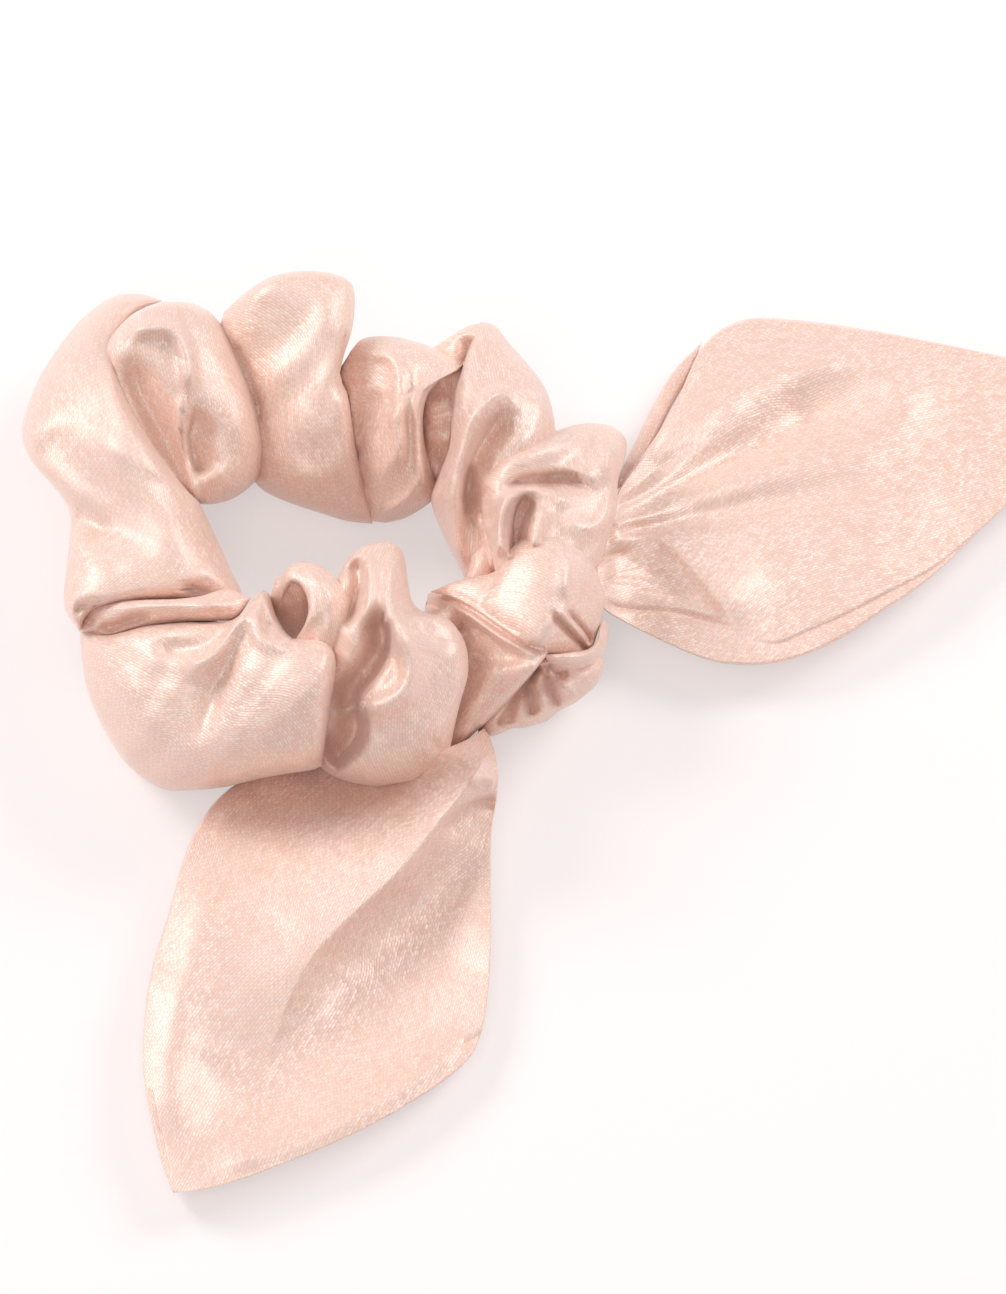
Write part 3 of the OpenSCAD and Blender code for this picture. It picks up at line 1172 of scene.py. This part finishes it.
    def arch(self) -> Fold:
        """The band of cloth that arches over a small opening."""
        return Fold(
            seat=Seat(296.0), seed=10, rows=60, front=26, behind=10, ripple=0.2, crinkle=0.08,
            start=(281, 602, 0), end=(320, 760, -2), crown=(3, 4, 5, 5, 4), back=(3, 5, 7, 8, 6),
            left=(
                (286, 590, 4), (293, 582, 7), (301, 586, 8), (307, 598, 9), (308, 613, 10),
                (303, 628, 10), (296, 640, 8), (294, 665, 4), (298, 700, 2), (306, 735, 0),
            ),
            right=(
                (280, 587, 2), (283, 573, 4), (294, 563, 4), (310, 562, 4), (327, 570, 5), (340, 583, 6),
                (350, 595, 6), (350, 608, 7), (343, 635, 8), (334, 665, 6), (326, 700, 4), (322, 735, 2),
            ),
            creases=(
                Crease(((300, 572), (322, 585), (330, 610), (322, 650)), 1.0, 9, 9),
                Crease(((318, 622), (318, 670), (316, 715)), 1.0, 5, 5),
            ),
        )

    def inner_wall(self) -> Fold:
        """The cloth that shows through the small opening, lit at its top."""
        return Fold(
            seat=Seat(290.0), seed=13, rows=24, front=22, behind=8, ripple=0.2, crinkle=0.05,
            start=(276, 578, -2), end=(292, 650, -12), crown=(5, 6, 3), back=(6, 6, 6),
            left=((270, 600, -4), (276, 625, -9)),
            right=((300, 572, -2), (318, 592, -4), (314, 622, -9)),
        )

    def near_left(self) -> Fold:
        """The big smooth fold at the near left."""
        return Fold(
            seat=Seat(262.0), seed=11, rows=72, front=60, square=2.7, start=(80, 630, 0),
            end=(322, 766, 0), crown=(11, 14, 15, 15, 13), back=(12, 16, 17, 16, 12),
            left=(
                (92, 632, 3), (110, 635, 5), (146, 626, 6), (182, 622, 6), (210, 622, 6), (234, 619, 6),
                (247, 606, 5), (258, 594, 4), (267, 590, 3), (272, 603, 4), (276, 616, 5), (284, 630, 6),
                (292, 638, 6), (304, 639, 7), (320, 640, 7), (333, 650, 7), (336, 668, 6), (331, 700, 5),
                (326, 735, 4),
            ),
            right=(
                (82, 660, 0), (88, 692, 0), (100, 722, 0), (116, 750, 0), (134, 771, 0), (163, 789, 0),
                (194, 790, 0), (225, 787, 0), (258, 779, 0), (292, 773, 0), (312, 770, 0),
            ),
            creases=(
                Crease(((248, 611), (238, 640), (225, 672), (208, 715), (196, 752)),
                       -2.2, 9, 10, (0.1, 0.3)),
                Crease(((249, 611), (232, 632), (206, 659), (176, 668)), 2.6, 12, 4, (0.1, 0.3)),
                Crease(((238, 624), (205, 645), (175, 650), (150, 645)), -2.8, 8, 12),
                Crease(((260, 600), (255, 622), (262, 642), (278, 645), (294, 644)), 2.0, 6, 6),
                Crease(((265, 606), (267, 622), (274, 634)), -1.6, 4, 4),
                Crease(((120, 640), (122, 680), (150, 730), (190, 760)), 1.0, 26, 22),
                Crease(((150, 660), (200, 690), (230, 700)), -0.8, 16, 16),
            ),
        )

    def roll(self) -> Fold:
        """The thin slanting roll between two big folds."""
        return Fold(
            seat=Seat(240.0), seed=12, rows=44, front=22, behind=8, ripple=0.2, crinkle=0.08, square=2.1,
            start=(78, 626, 3), end=(251, 598, 6), crown=(4, 5, 5, 5, 4), back=(8, 12, 12, 10, 6),
            left=(
                (88, 610, 6), (104, 603, 9), (140, 600, 11), (175, 599, 11), (200, 596, 11),
                (228, 589, 8),
            ),
            right=(
                (86, 636, 3), (106, 636, 5), (140, 628, 6), (180, 622, 8), (212, 621, 8), (236, 618, 7),
            ),
            creases=(
                Crease(((96, 628), (112, 626), (132, 619), (152, 615)), -4.2, 4, 6),
                Crease(((104, 610), (150, 605), (200, 604), (238, 600)), 1.2, 4, 5),
                Crease(((184, 612), (215, 606), (240, 606)), 0.8, 3, 4),
            ),
        )

    def core(self) -> Shape:
        """The bunched tube on the elastic: a ring whose section is a wavy ellipse.

        The waves are 23 gathers round the ring, 8% of the section deep, and 41 finer ones of 5%.

        Returns:
            The closed ring, with its cloth coordinates.
        """
        low, high = (np.array(corner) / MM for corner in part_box("elastic_band"))
        ring = high[1] - self.elastic_mm / 2
        rows, cols = self.core_grid
        t = np.linspace(0.0, 2 * np.pi, rows, endpoint=False)[:, None]
        b = np.linspace(0.0, 2 * np.pi, cols, endpoint=False)[None]
        wave = 1.0 + 0.08 * np.sin(23 * t + 2 * np.sin(b)) + 0.05 * np.sin(41 * t + b)
        away = ring + self.core_mm[0] * wave * np.cos(b)
        up = (low[2] + high[2]) / 2 + self.core_mm[1] * wave * np.sin(b)
        grid = np.stack([away * np.cos(t), away * np.sin(t), up], -1)
        index = np.arange(rows * cols).reshape(rows, cols)
        near, far = np.roll(index, -1, axis=0), np.roll(index, -1, axis=1)
        corner = np.roll(near, -1, axis=1)
        faces = np.stack([index, near, corner, far], -1).reshape(-1, 4)
        u = np.linspace(0, 2 * np.pi * self.core_mm[1], cols + 1)
        v = np.linspace(0, 2 * np.pi * ring, rows + 1)
        sheet = np.stack(np.meshgrid(u, v), axis=-1)
        weave = np.stack([sheet[:-1, :-1], sheet[1:, :-1], sheet[1:, 1:], sheet[:-1, 1:]], -2)
        return Shape(grid.reshape(-1, 3), [tuple(f) for f in faces.tolist()], weave.reshape(-1, 2))

    def build(self) -> bpy.types.Object:
        """Makes the cover.

        Returns:
            The piece.
        """
        shape = Shape.together([self.core()] + [fold.shape() for fold in self.folds()])
        cover = shape.piece("gathered_cover", self.satin)
        wall = cover.modifiers.new("cloth", "SOLIDIFY")
        wall.thickness, wall.offset = self.cloth_mm * MM, -1.0
        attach(cover, "band")
        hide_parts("cover")
        return cover


# ---- The knot ----------------------------------------------------------------------------


@dataclass
class Knot:
    """The tie's knot: a strap round the ring, and the turns that hold it."""

    satin: bpy.types.Material
    strap_cut_mm: tuple[float, float] = (24.0, 46.0)
    turns_cut_mm: tuple[float, float] = (24.0, 90.0)

    def strap(self) -> Fold:
        """The wide strap down the front of the ring."""
        return Fold(
            seed=22, rows=96, front=90, ripple=0.3, crinkle=0.12, square=3.4, start=(428, 594, 8),
            end=(444, 757, 5), crown=(2, 3, 4, 4, 3), back=(5, 8, 9, 8, 5),
            left=((424, 615, 8), (424, 645, 9), (428, 685, 10), (432, 722, 8)),
            right=(
                (440, 592, 16), (466, 598, 22), (500, 615, 23.5), (530, 634, 23.5), (549, 648, 21.5),
                (540, 664, 20.5), (526, 681, 16.5), (508, 701, 12.5), (490, 719, 9), (468, 739, 6.5),
            ),
            creases=(
                Crease(((414, 592), (440, 600), (468, 615), (500, 637), (524, 651), (540, 659)),
                       2.6, 4, 4, (0.08, 0.08)),
                Crease(((418, 601), (438, 608), (456, 621), (472, 638)),
                       -2.2, 3, 4, (0.1, 0.3), power=1.5),
                Crease(((419, 607), (438, 614), (455, 628), (464, 642)), 1.6, 3, 4, (0.1, 0.3)),
                Crease(((422, 614), (436, 618), (448, 627)), -2.4, 3, 3, (0.1, 0.3)),
                Crease(((482, 640), (474, 672), (462, 704), (448, 736)), -1.2, 14, 14),
                Crease(((540, 660), (514, 690), (486, 718), (454, 746)), 1.8, 4, 16, (0.1, 0.15)),
                Crease(((500, 646), (492, 670), (476, 700), (456, 728)), 1.4, 8, 8),
            ),
        )

    def hood(self) -> Fold:
        """The cloth that lies over the ring and domes over the top of the knot."""
        return Fold(
            seed=23, rows=130, front=84, ripple=0.2, crinkle=0.1, start=(430, 592, 19),
            end=(592, 650, 14), crown=(2, 4, 6, 7, 5), back=(3, 6, 10, 12, 8),
            left=(
                (446, 585, 21), (466, 578, 22), (488, 574, 22.5), (502, 566, 22), (508, 552, 23),
                (518, 542, 24), (530, 536, 24), (546, 534, 24), (565, 538, 23), (580, 549, 22),
                (592, 561, 20), (600, 581, 17), (605, 598, 15), (602, 618, 13), (597, 635, 13),
            ),
            right=(
                (450, 597, 20.5), (473, 610, 21.5), (496, 626, 22.5), (519, 642, 23), (536, 651, 22.5),
                (548, 654, 20.5), (562, 655, 18.5), (576, 654, 16),
            ),
            drape=Drape((
                (450, 590, 0), (480, 596, 0), (500, 606, 0), (520, 600, 0.5), (530, 575, 2.4),
                (548, 560, 4), (560, 575, 4), (572, 592, 3), (552, 604, 1.2), (530, 625, 0.4),
                (560, 635, 0.6), (584, 625, 1), (592, 580, 2), (500, 575, 0.5), (520, 550, 2),
            ), 0.08),
            creases=(
                Crease(((551, 610), (563, 624), (576, 638), (588, 650)),
                       -3.8, 3, 3, (0.25, 0.05), power=1.3),
                Crease(((564, 607), (575, 620), (587, 635), (591, 645)),
                       -3.4, 3, 3, (0.3, 0.1), power=1.3),
                Crease(((556, 607), (569, 621), (582, 636), (590, 648)), 2.2, 4, 4, (0.2, 0.05)),
                Crease(((562, 548), (566, 575), (564, 598)), 1.2, 8, 9),
                Crease(((527, 645), (536, 648), (545, 650)), -2.6, 3, 3, (0.2, 0.1)),
                Crease(((444, 593), (470, 606), (500, 627), (524, 641)), 0.9, 3, 4, (0.1, 0.1)),
            ),
        )

    def band(self) -> Fold:
        """The strap that crosses under the hood and turns round the side."""
        return Fold(
            seed=24, rows=70, front=44, behind=12, ripple=0.2, crinkle=0.05, start=(542, 654, 20),
            end=(606, 618, 13), crown=(2, 3, 4, 3, 2), back=(6, 8, 10, 8, 6),
            left=((556, 654, 23), (573, 652, 22), (588, 649, 20), (597, 640, 18), (600, 626, 15)),
            right=(
                (550, 662, 20), (563, 667, 18), (581, 668, 16), (597, 662, 14), (605, 650, 13),
                (609, 634, 12),
            ),
            creases=(
                Crease(((556, 664), (575, 666), (592, 660), (602, 650)),
                       -1.8, 3, 3, (0.15, 0.2), power=1.3),
                Crease(((548, 658), (568, 659), (588, 655), (600, 642)), 0.9, 4, 4, (0.15, 0.15)),
            ),
        )

    def fan(self) -> Fold:
        """The pleats that spread under the knot."""
        return Fold(
            seed=25, rows=96, front=96, ripple=0.3, crinkle=0.1, square=2.8, start=(538, 652, 15),
            end=(547, 721, 4), crown=(4, 6, 7, 6, 4), back=(6, 8, 8, 6, 3),
            left=(
                (522, 664, 13), (504, 684, 10), (488, 706, 7), (478, 734, 4.5), (494, 736, 4),
                (508, 729, 4.5), (523, 728, 4), (535, 725, 4),
            ),
            right=(
                (560, 658, 17), (582, 662, 15.5), (603, 658, 12.5), (603, 672, 11), (597, 684, 8),
                (588, 693, 7), (575, 703, 6), (561, 710, 5),
            ),
            creases=(
                Crease(((540, 664), (526, 682), (512, 706), (497, 726)),
                       -2.6, 4, 3, (0.05, 0.1), power=1.3),
                Crease(((540, 664), (527, 684), (530, 698), (533, 716)),
                       -3.6, 5, 3, (0.1, 0.1), power=1.3),
                Crease(((543, 664), (548, 680), (553, 695), (562, 708)),
                       -3.6, 4, 3, (0.05, 0.3), power=1.3),
                Crease(((547, 664), (557, 672), (570, 677)), -3.2, 4, 3, (0.1, 0.3), power=1.3),
                Crease(((516, 700), (512, 712), (510, 724)), -1.4, 3, 3, (0.2, 0.1)),
                Crease(((536, 678), (541, 698), (545, 716)), 1.6, 6, 5),
                Crease(((552, 674), (566, 688), (578, 700)), 1.4, 6, 6),
                Crease(((520, 694), (520, 710), (521, 722)), 1.2, 4, 4),
            ),
        )

    def build(self) -> list[bpy.types.Object]:
        """Makes the strap's piece and the knot's piece.

        Returns:
            Both pieces.
        """
        pieces = [
            ("tie_strap", [self.strap()], ["tie_loop"], self.strap_cut_mm),
            ("knot_turns", [self.hood(), self.band(), self.fan()], ["knot_turn", "knot_core"],
             self.turns_cut_mm),
        ]
        made = []
        for name, folds, stands_for, cut_mm in pieces:
            piece = Shape.together([fold.shape() for fold in folds]).piece(name, self.satin)
            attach(piece, "tie")
            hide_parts(*stands_for)
            tuple(side * MM for side in cut_mm)
            made.append(piece)
        return made


# ---- The tails ---------------------------------------------------------------------------


@dataclass
class Tail:
    """A tail of the tie: two layers of satin sewn round the edge, turned and pressed."""

    name: str
    folds: tuple[Fold, ...]
    base: str
    body: str
    nodes: tuple[str, ...]
    bend_from_mm: tuple[float, float, float]
    bend_to_mm: tuple[float, float, float]
    flat_mm: tuple[float, float]
    satin: bpy.types.Material
    area_mm2: float = 5600.0

    def build(self) -> bpy.types.Object:
        """Makes the tail.

        Returns:
            The piece.
        """
        tail = Shape.together([f.shape() for f in self.folds]).piece(self.name, self.satin)
        start, end = (
            tuple(v * MM for v in spot) for spot in (self.bend_from_mm, self.bend_to_mm)
        )
        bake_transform(tail)
        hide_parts(*self.nodes)
        return tail


def left_tail_fold() -> Fold:
    """The near tail: a broad lobe rolled over a hollow, with a puffed rim all round."""
    return Fold(
        seed=31, rows=230, front=250, behind=24, square=4.5, ends=5.0, ripple=0.15, crinkle=0.1,
        start=(484, 728, 6), end=(173, 1193, 3.5), crown=(0,), back=(4, 4, 3.5, 3.5, 3.5),
        left=(
            (466, 740, 7), (440, 750, 7), (400, 760, 6), (365, 766, 5.5), (330, 762, 5), (296, 762, 4.5),
            (262, 770, 4.5), (228, 790, 4), (205, 815, 4), (185, 854, 4), (170, 908, 4), (152, 968, 4),
            (144, 1025, 4), (144, 1079, 4), (158, 1150, 4),
        ),
        right=(
            (492, 742, 8), (498, 770, 8.5), (497, 798, 7), (492, 830, 5.5), (491, 880, 5),
            (491, 940, 4.5), (488, 995, 4), (480, 1037, 4), (464, 1064, 4), (425, 1094, 4),
            (368, 1127, 4), (308, 1154, 4), (239, 1180, 4), (200, 1190, 4),
        ),
        drape=Drape((
            (300, 790, 2.5), (400, 790, 3), (350, 776, 0.5), (262, 790, 2.5), (470, 765, 7),
            (225, 822, 5), (250, 860, 6), (330, 840, 6), (390, 832, 6.4), (436, 800, 6), (404, 850, 5.8),
            (362, 890, 5.2), (320, 930, 4.8), (290, 975, 4.4), (200, 900, 6.4), (262, 930, 6),
            (180, 1000, 6), (232, 1000, 5), (452, 838, 3.2), (430, 868, 2.0), (402, 900, 1.2),
            (370, 932, 0.8), (340, 964, 0.6), (314, 1002, 0.8), (446, 900, 0), (404, 950, -1.2),
            (352, 1010, -1.6), (306, 1060, -1.2), (266, 1112, -0.4), (476, 860, 2.6), (474, 930, 1.8),
            (468, 1000, 1.4), (448, 960, -0.6), (425, 1020, -0.8), (385, 1060, -0.6), (405, 1080, 1.4),
            (330, 1118, 1.8), (240, 1150, 2.6), (190, 1165, 3.4), (160, 1100, 5), (158, 1020, 5.4),
            (196, 1070, 3.6), (214, 1120, 1.8), (360, 720, 5), (520, 800, 4), (120, 900, 3),
            (110, 1100, 3), (500, 1060, 2), (150, 1230, 3),
        ), 0.004),
        creases=(
            Crease(((490, 742), (478, 772), (460, 796), (439, 822), (418, 850), (395, 878), (366, 905),
                    (344, 926), (321, 950), (303, 976), (284, 1018), (266, 1080), (256, 1130)),
                   9.0, 19, 60, (0.06, 0.7), power=1.0),
            Crease(((206, 862), (200, 920), (188, 972), (176, 1022), (172, 1066), (180, 1110),
                    (194, 1150)), 1.6, 26, 20, (0.2, 0.2)),
            Crease(((205, 1166), (275, 1150), (330, 1128), (385, 1098), (440, 1058), (470, 1034)),
                   2.0, 18, 13, (0.15, 0.15)),
            Crease(((456, 1048), (468, 1042), (480, 1036)), -0.8, 3, 3, (0.4, 0.0), power=1.4),
            Crease(((150, 1085), (156, 1120), (164, 1150), (170, 1180)), -0.4, 2, 2, (0.1, 0.1)),
            Crease(((440, 832), (458, 815), (478, 803), (497, 799)), -2.2, 4, 12, (0.2, 0.1)),
            Crease(((470, 786), (482, 778), (496, 782)), 1.8, 6, 6, (0.2, 0.1)),
            Crease(((214, 816), (235, 804), (258, 796)), 1.2, 10, 9),
        ),
    )


def right_tail_fold() -> Fold:
    """The far tail: a long spoon-shaped furrow and a crest run from the knot over a panel."""
    return Fold(
        seed=32, rows=220, front=230, behind=24, square=4.0, ends=5.0, ripple=0.15, crinkle=0.1,
        start=(588, 572, 11), end=(1150, 385, 4), crown=(0,), back=(6, 5, 4.5, 4.5, 4),
        left=(
            (597, 545, 13), (604, 520, 12), (614, 500, 11), (627, 477, 9.5), (656, 436, 8),
            (677, 400, 7), (698, 354, 6), (716, 333, 5.5), (740, 321, 5), (768, 318, 5), (829, 324, 5),
            (908, 337, 5), (1006, 357, 5), (1080, 371, 4.5),
        ),
        right=(
            (596, 596, 10), (606, 611, 9), (624, 622, 7), (643, 632, 6), (691, 654, 5.5), (728, 664, 5),
            (776, 663, 5), (829, 645, 5), (882, 612, 5), (935, 574, 5), (1006, 506, 5), (1080, 446, 4.5),
        ),
        drape=Drape((
            (648, 460, 5.5), (690, 392, 5), (730, 344, 5), (790, 336, 5), (860, 344, 5), (950, 360, 5),
            (1006, 385, 5), (626, 490, 6), (664, 450, 7), (709, 411, 7.4), (768, 382, 7.4),
            (830, 364, 7), (900, 380, 7), (922, 420, 7), (650, 500, 5.5), (720, 465, 6), (790, 425, 6.4),
            (850, 402, 5.4), (800, 414, 5.4), (760, 500, 6.6), (850, 460, 7), (645, 529, 5.5),
            (700, 519, 6), (645, 545, 6.4), (680, 560, 7), (700, 590, 6.6), (722, 620, 5.5),
            (747, 632, 4.8), (640, 590, 4.6), (692, 628, 3.6), (614, 585, 5), (760, 560, 7),
            (820, 540, 6.6), (900, 480, 6.6), (950, 430, 6.4), (850, 600, 4.6), (802, 628, 3.8),
            (900, 560, 5), (960, 520, 4), (1006, 430, 6), (1006, 480, 4.5), (1090, 400, 4),
            (1150, 385, 3), (600, 640, 3), (700, 690, 3), (620, 400, 3), (700, 300, 3), (900, 300, 3),
            (900, 640, 3),
        )),
        creases=(
            Crease(((614, 516), (650, 500), (700, 474), (750, 450), (800, 427), (846, 411), (876, 404)),
                   -3.6, 5, 4, (0.6, 0.3), grow=7.0),
            Crease(((640, 470), (696, 420), (749, 391), (789, 374), (829, 362), (874, 366), (904, 392),
                    (892, 428), (850, 456), (800, 470), (750, 484), (700, 498), (650, 515)),
                   1.5, 21, 19, (0.15, 0.15)),
            Crease(((612, 533), (650, 528), (700, 518), (760, 506), (820, 495), (880, 480)),
                   -1.8, 6, 6, (0.1, 0.4), grow=4.0),
            Crease(((604, 542), (636, 535), (664, 540), (696, 568), (722, 602), (746, 634)),
                   1.9, 44, 9, (0.1, 0.25)),
            Crease(((606, 566), (640, 566), (672, 588), (700, 614)), -1.2, 12, 12, (0.1, 0.3)),
            Crease(((596, 561), (616, 553), (640, 550)), -1.6, 4, 5, (0.0, 0.5), power=1.5),
            Crease(((606, 580), (640, 582), (670, 596)), -0.5, 5, 5, (0.1, 0.4)),
            Crease(((604, 600), (622, 608), (670, 611), (710, 621), (739, 633)),
                   -1.0, 3, 4, (0.1, 0.25), power=1.5),
            Crease(((745, 638), (776, 645), (802, 635), (842, 618), (882, 597), (935, 568), (990, 522)),
                   -0.6, 2.5, 3.5, (0.15, 0.1), power=1.6),
            Crease(((614, 500), (642, 482), (672, 460), (705, 438)), -0.7, 5, 5, (0.1, 0.5), grow=1.6),
            Crease(((612, 508), (640, 496), (672, 476), (700, 460)), 0.7, 5, 5, (0.1, 0.5), grow=1.6),
            Crease(((612, 526), (645, 518), (690, 506)), 0.7, 5, 5, (0.1, 0.5), grow=1.6),
            Crease(((700, 358), (678, 402), (656, 440), (630, 478)), 0.8, 6, 8, (0.15, 0.15)),
        ),
    )


def right_tail_hem() -> Fold:
    """The turned edge of the lower layer, which peeps out beside the far tail's panel."""
    return Fold(
        seed=33, rows=70, front=20, behind=10, ripple=0.05, start=(614, 492, 6), end=(702, 342, 3.6),
        crown=(1.5, 2, 2, 1.8, 1.5), back=(3, 3, 3, 3, 3),
        left=((622, 468, 5), (634, 444, 4.5), (652, 407, 4), (674, 371, 3.6)),
        right=((634, 476, 5), (652, 446, 4.5), (670, 410, 4), (690, 374, 3.6)),
    )


def tails(satin: bpy.types.Material) -> list[Tail]:
    """The two tails, each with the two points of a bend just outside the knot, which the build reads but
    does not use.

    Args:
        satin: their finish.

    Returns:
        The far tail, then the near one.
    """
    return [
        Tail(
            "tail_far", (right_tail_fold(), right_tail_hem()), "tail_right_base", "tail_right",
            ("tail_right_root", "tail_right_upper", "tail_right_lower"),
            bend_from_mm=(53.0, 26.5, 8.5), bend_to_mm=(67.0, 54.0, 8.5), flat_mm=(66.0, 125.0),
            satin=satin,
        ),
        Tail(
            "tail_near", (left_tail_fold(),), "tail_left_base", "tail_left",
            ("tail_left_root", "tail_left_upper", "tail_left_lower"),
            bend_from_mm=(47.6, -21.5, 8.5), bend_to_mm=(46.0, -46.0, 8.5), flat_mm=(66.0, 120.0),
            satin=satin,
        ),
    ]


# ---- The elastic and the stage -------------------------------------------------------------


@dataclass
class Elastic:
    """The hidden elastic loop and the stitches that close it."""

    def dress(self) -> list[bpy.types.Object]:
        """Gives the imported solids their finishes.

        Returns:
            The solids.
        """
        finishes = {"elastic_band": Knit().make(), "elastic_tacks": Thread().make()}
        for node, material in finishes.items():
            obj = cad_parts[node]
            obj.data.materials.clear()
            obj.data.materials.append(material)
        return [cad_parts[node] for node in finishes]


@dataclass(frozen=True)
class Lamp:
    """A square soft lamp that looks at the object: its place in metres and its power in watts."""

    name: str
    place: Place
    power: float
    size: float = 0.5

    def hang(self) -> None:
        """Makes the lamp."""
        data = bpy.data.lights.new(self.name, "AREA")
        data.energy, data.size = self.power, self.size
        obj = bpy.data.objects.new(self.name, data)
        bpy.context.collection.objects.link(obj)
        obj.location = self.place
        obj.rotation_euler = (-Vector(self.place)).to_track_quat("-Z", "Y").to_euler()


@dataclass
class Stage:
    """A pale table under soft studio light."""

    size: float = 3.0
    # The table's diffuse colour, pink rather than white: it barely shows where the table is lit, and
    # turns the kept shadow pink, a painted pink shade.
    floor_pink_shade: Colour = (0.97, 0.875, 0.87, 1)
    white: Colour = (0.99, 0.975, 0.97, 1)
    lift: float = 0.5
    air: Colour = (1.0, 0.99, 0.985, 1)
    air_strength: float = 0.43
    lamps: tuple[Lamp, ...] = (
        Lamp("left", (-0.86, -0.04, 0.70), 7.0),
        Lamp("right", (0.44, 0.74, 0.66), 5.4),
        Lamp("front", (0.28, -0.64, 0.86), 2.5),
    )

    def floor(self) -> bpy.types.Object:
        """The table top: white to the camera, with the object's shadow kept, which the table's pink
        diffuse colour turns pink: a painted pink shade for light bounced off the cloth.

        Returns:
            The table.
        """
        r = Recipe("table", Roughness=0.9, Base_Color=self.floor_pink_shade)
        path = r.node("ShaderNodeLightPath", {}, {})
        seen = (
            Value(r, path.outputs["Is Camera Ray"]) + Value(r, path.outputs["Is Glossy Ray"])
            + Value(r, path.outputs["Is Transmission Ray"])
        ).clamp()
        glow = r.node("ShaderNodeEmission", {}, {"Color": self.white, "Strength": 1.0})
        mix = r.node(
            "ShaderNodeMixShader", {},
            {0: seen * self.lift, 1: r.shader.outputs[0], 2: glow.outputs[0]},
        )
        r.feed(r.tree.nodes["Material Output"].inputs["Surface"], mix.outputs[0])
        mesh = bpy.data.meshes.new("table")
        h = self.size / 2
        mesh.from_pydata([(-h, -h, 0), (h, -h, 0), (h, h, 0), (-h, h, 0)], [], [(0, 1, 2, 3)])
        mesh.materials.append(r.material)
        obj = bpy.data.objects.new("table", mesh)
        bpy.context.collection.objects.link(obj)
        return obj

    def light(self) -> None:
        """The world and the lamps."""
        world = bpy.data.worlds.new("studio")
        bpy.context.scene.world = world
        world.use_nodes = True
        back = world.node_tree.nodes["Background"]
        back.inputs["Color"].default_value = self.air
        back.inputs["Strength"].default_value = self.air_strength
        for lamp in self.lamps:
            lamp.hang()


# ---- Putting it together -------------------------------------------------------------------


def corners(box: Any) -> list[list[float]]:
    """A bounding box as two plain lists."""
    return [[float(v) for v in corner] for corner in box]


def main() -> None:
    """Builds every piece in order."""
    logging.basicConfig(level=logging.INFO, format="%(name)s: %(message)s")
    VIEW.place()
    satin = Satin().make()
    made = [Cover(satin).build()]
    made += Knot(satin).build()
    made += [tail.build() for tail in tails(satin)]
    made += Elastic().dress()
    stage = Stage()
    stage.floor()
    stage.light()
    bpy.context.scene.view_settings.view_transform = "Standard"
    for piece in made:
        log.info("%s: %d faces", piece.name, len(piece.data.polygons))


if __name__ == "__main__":
    main()
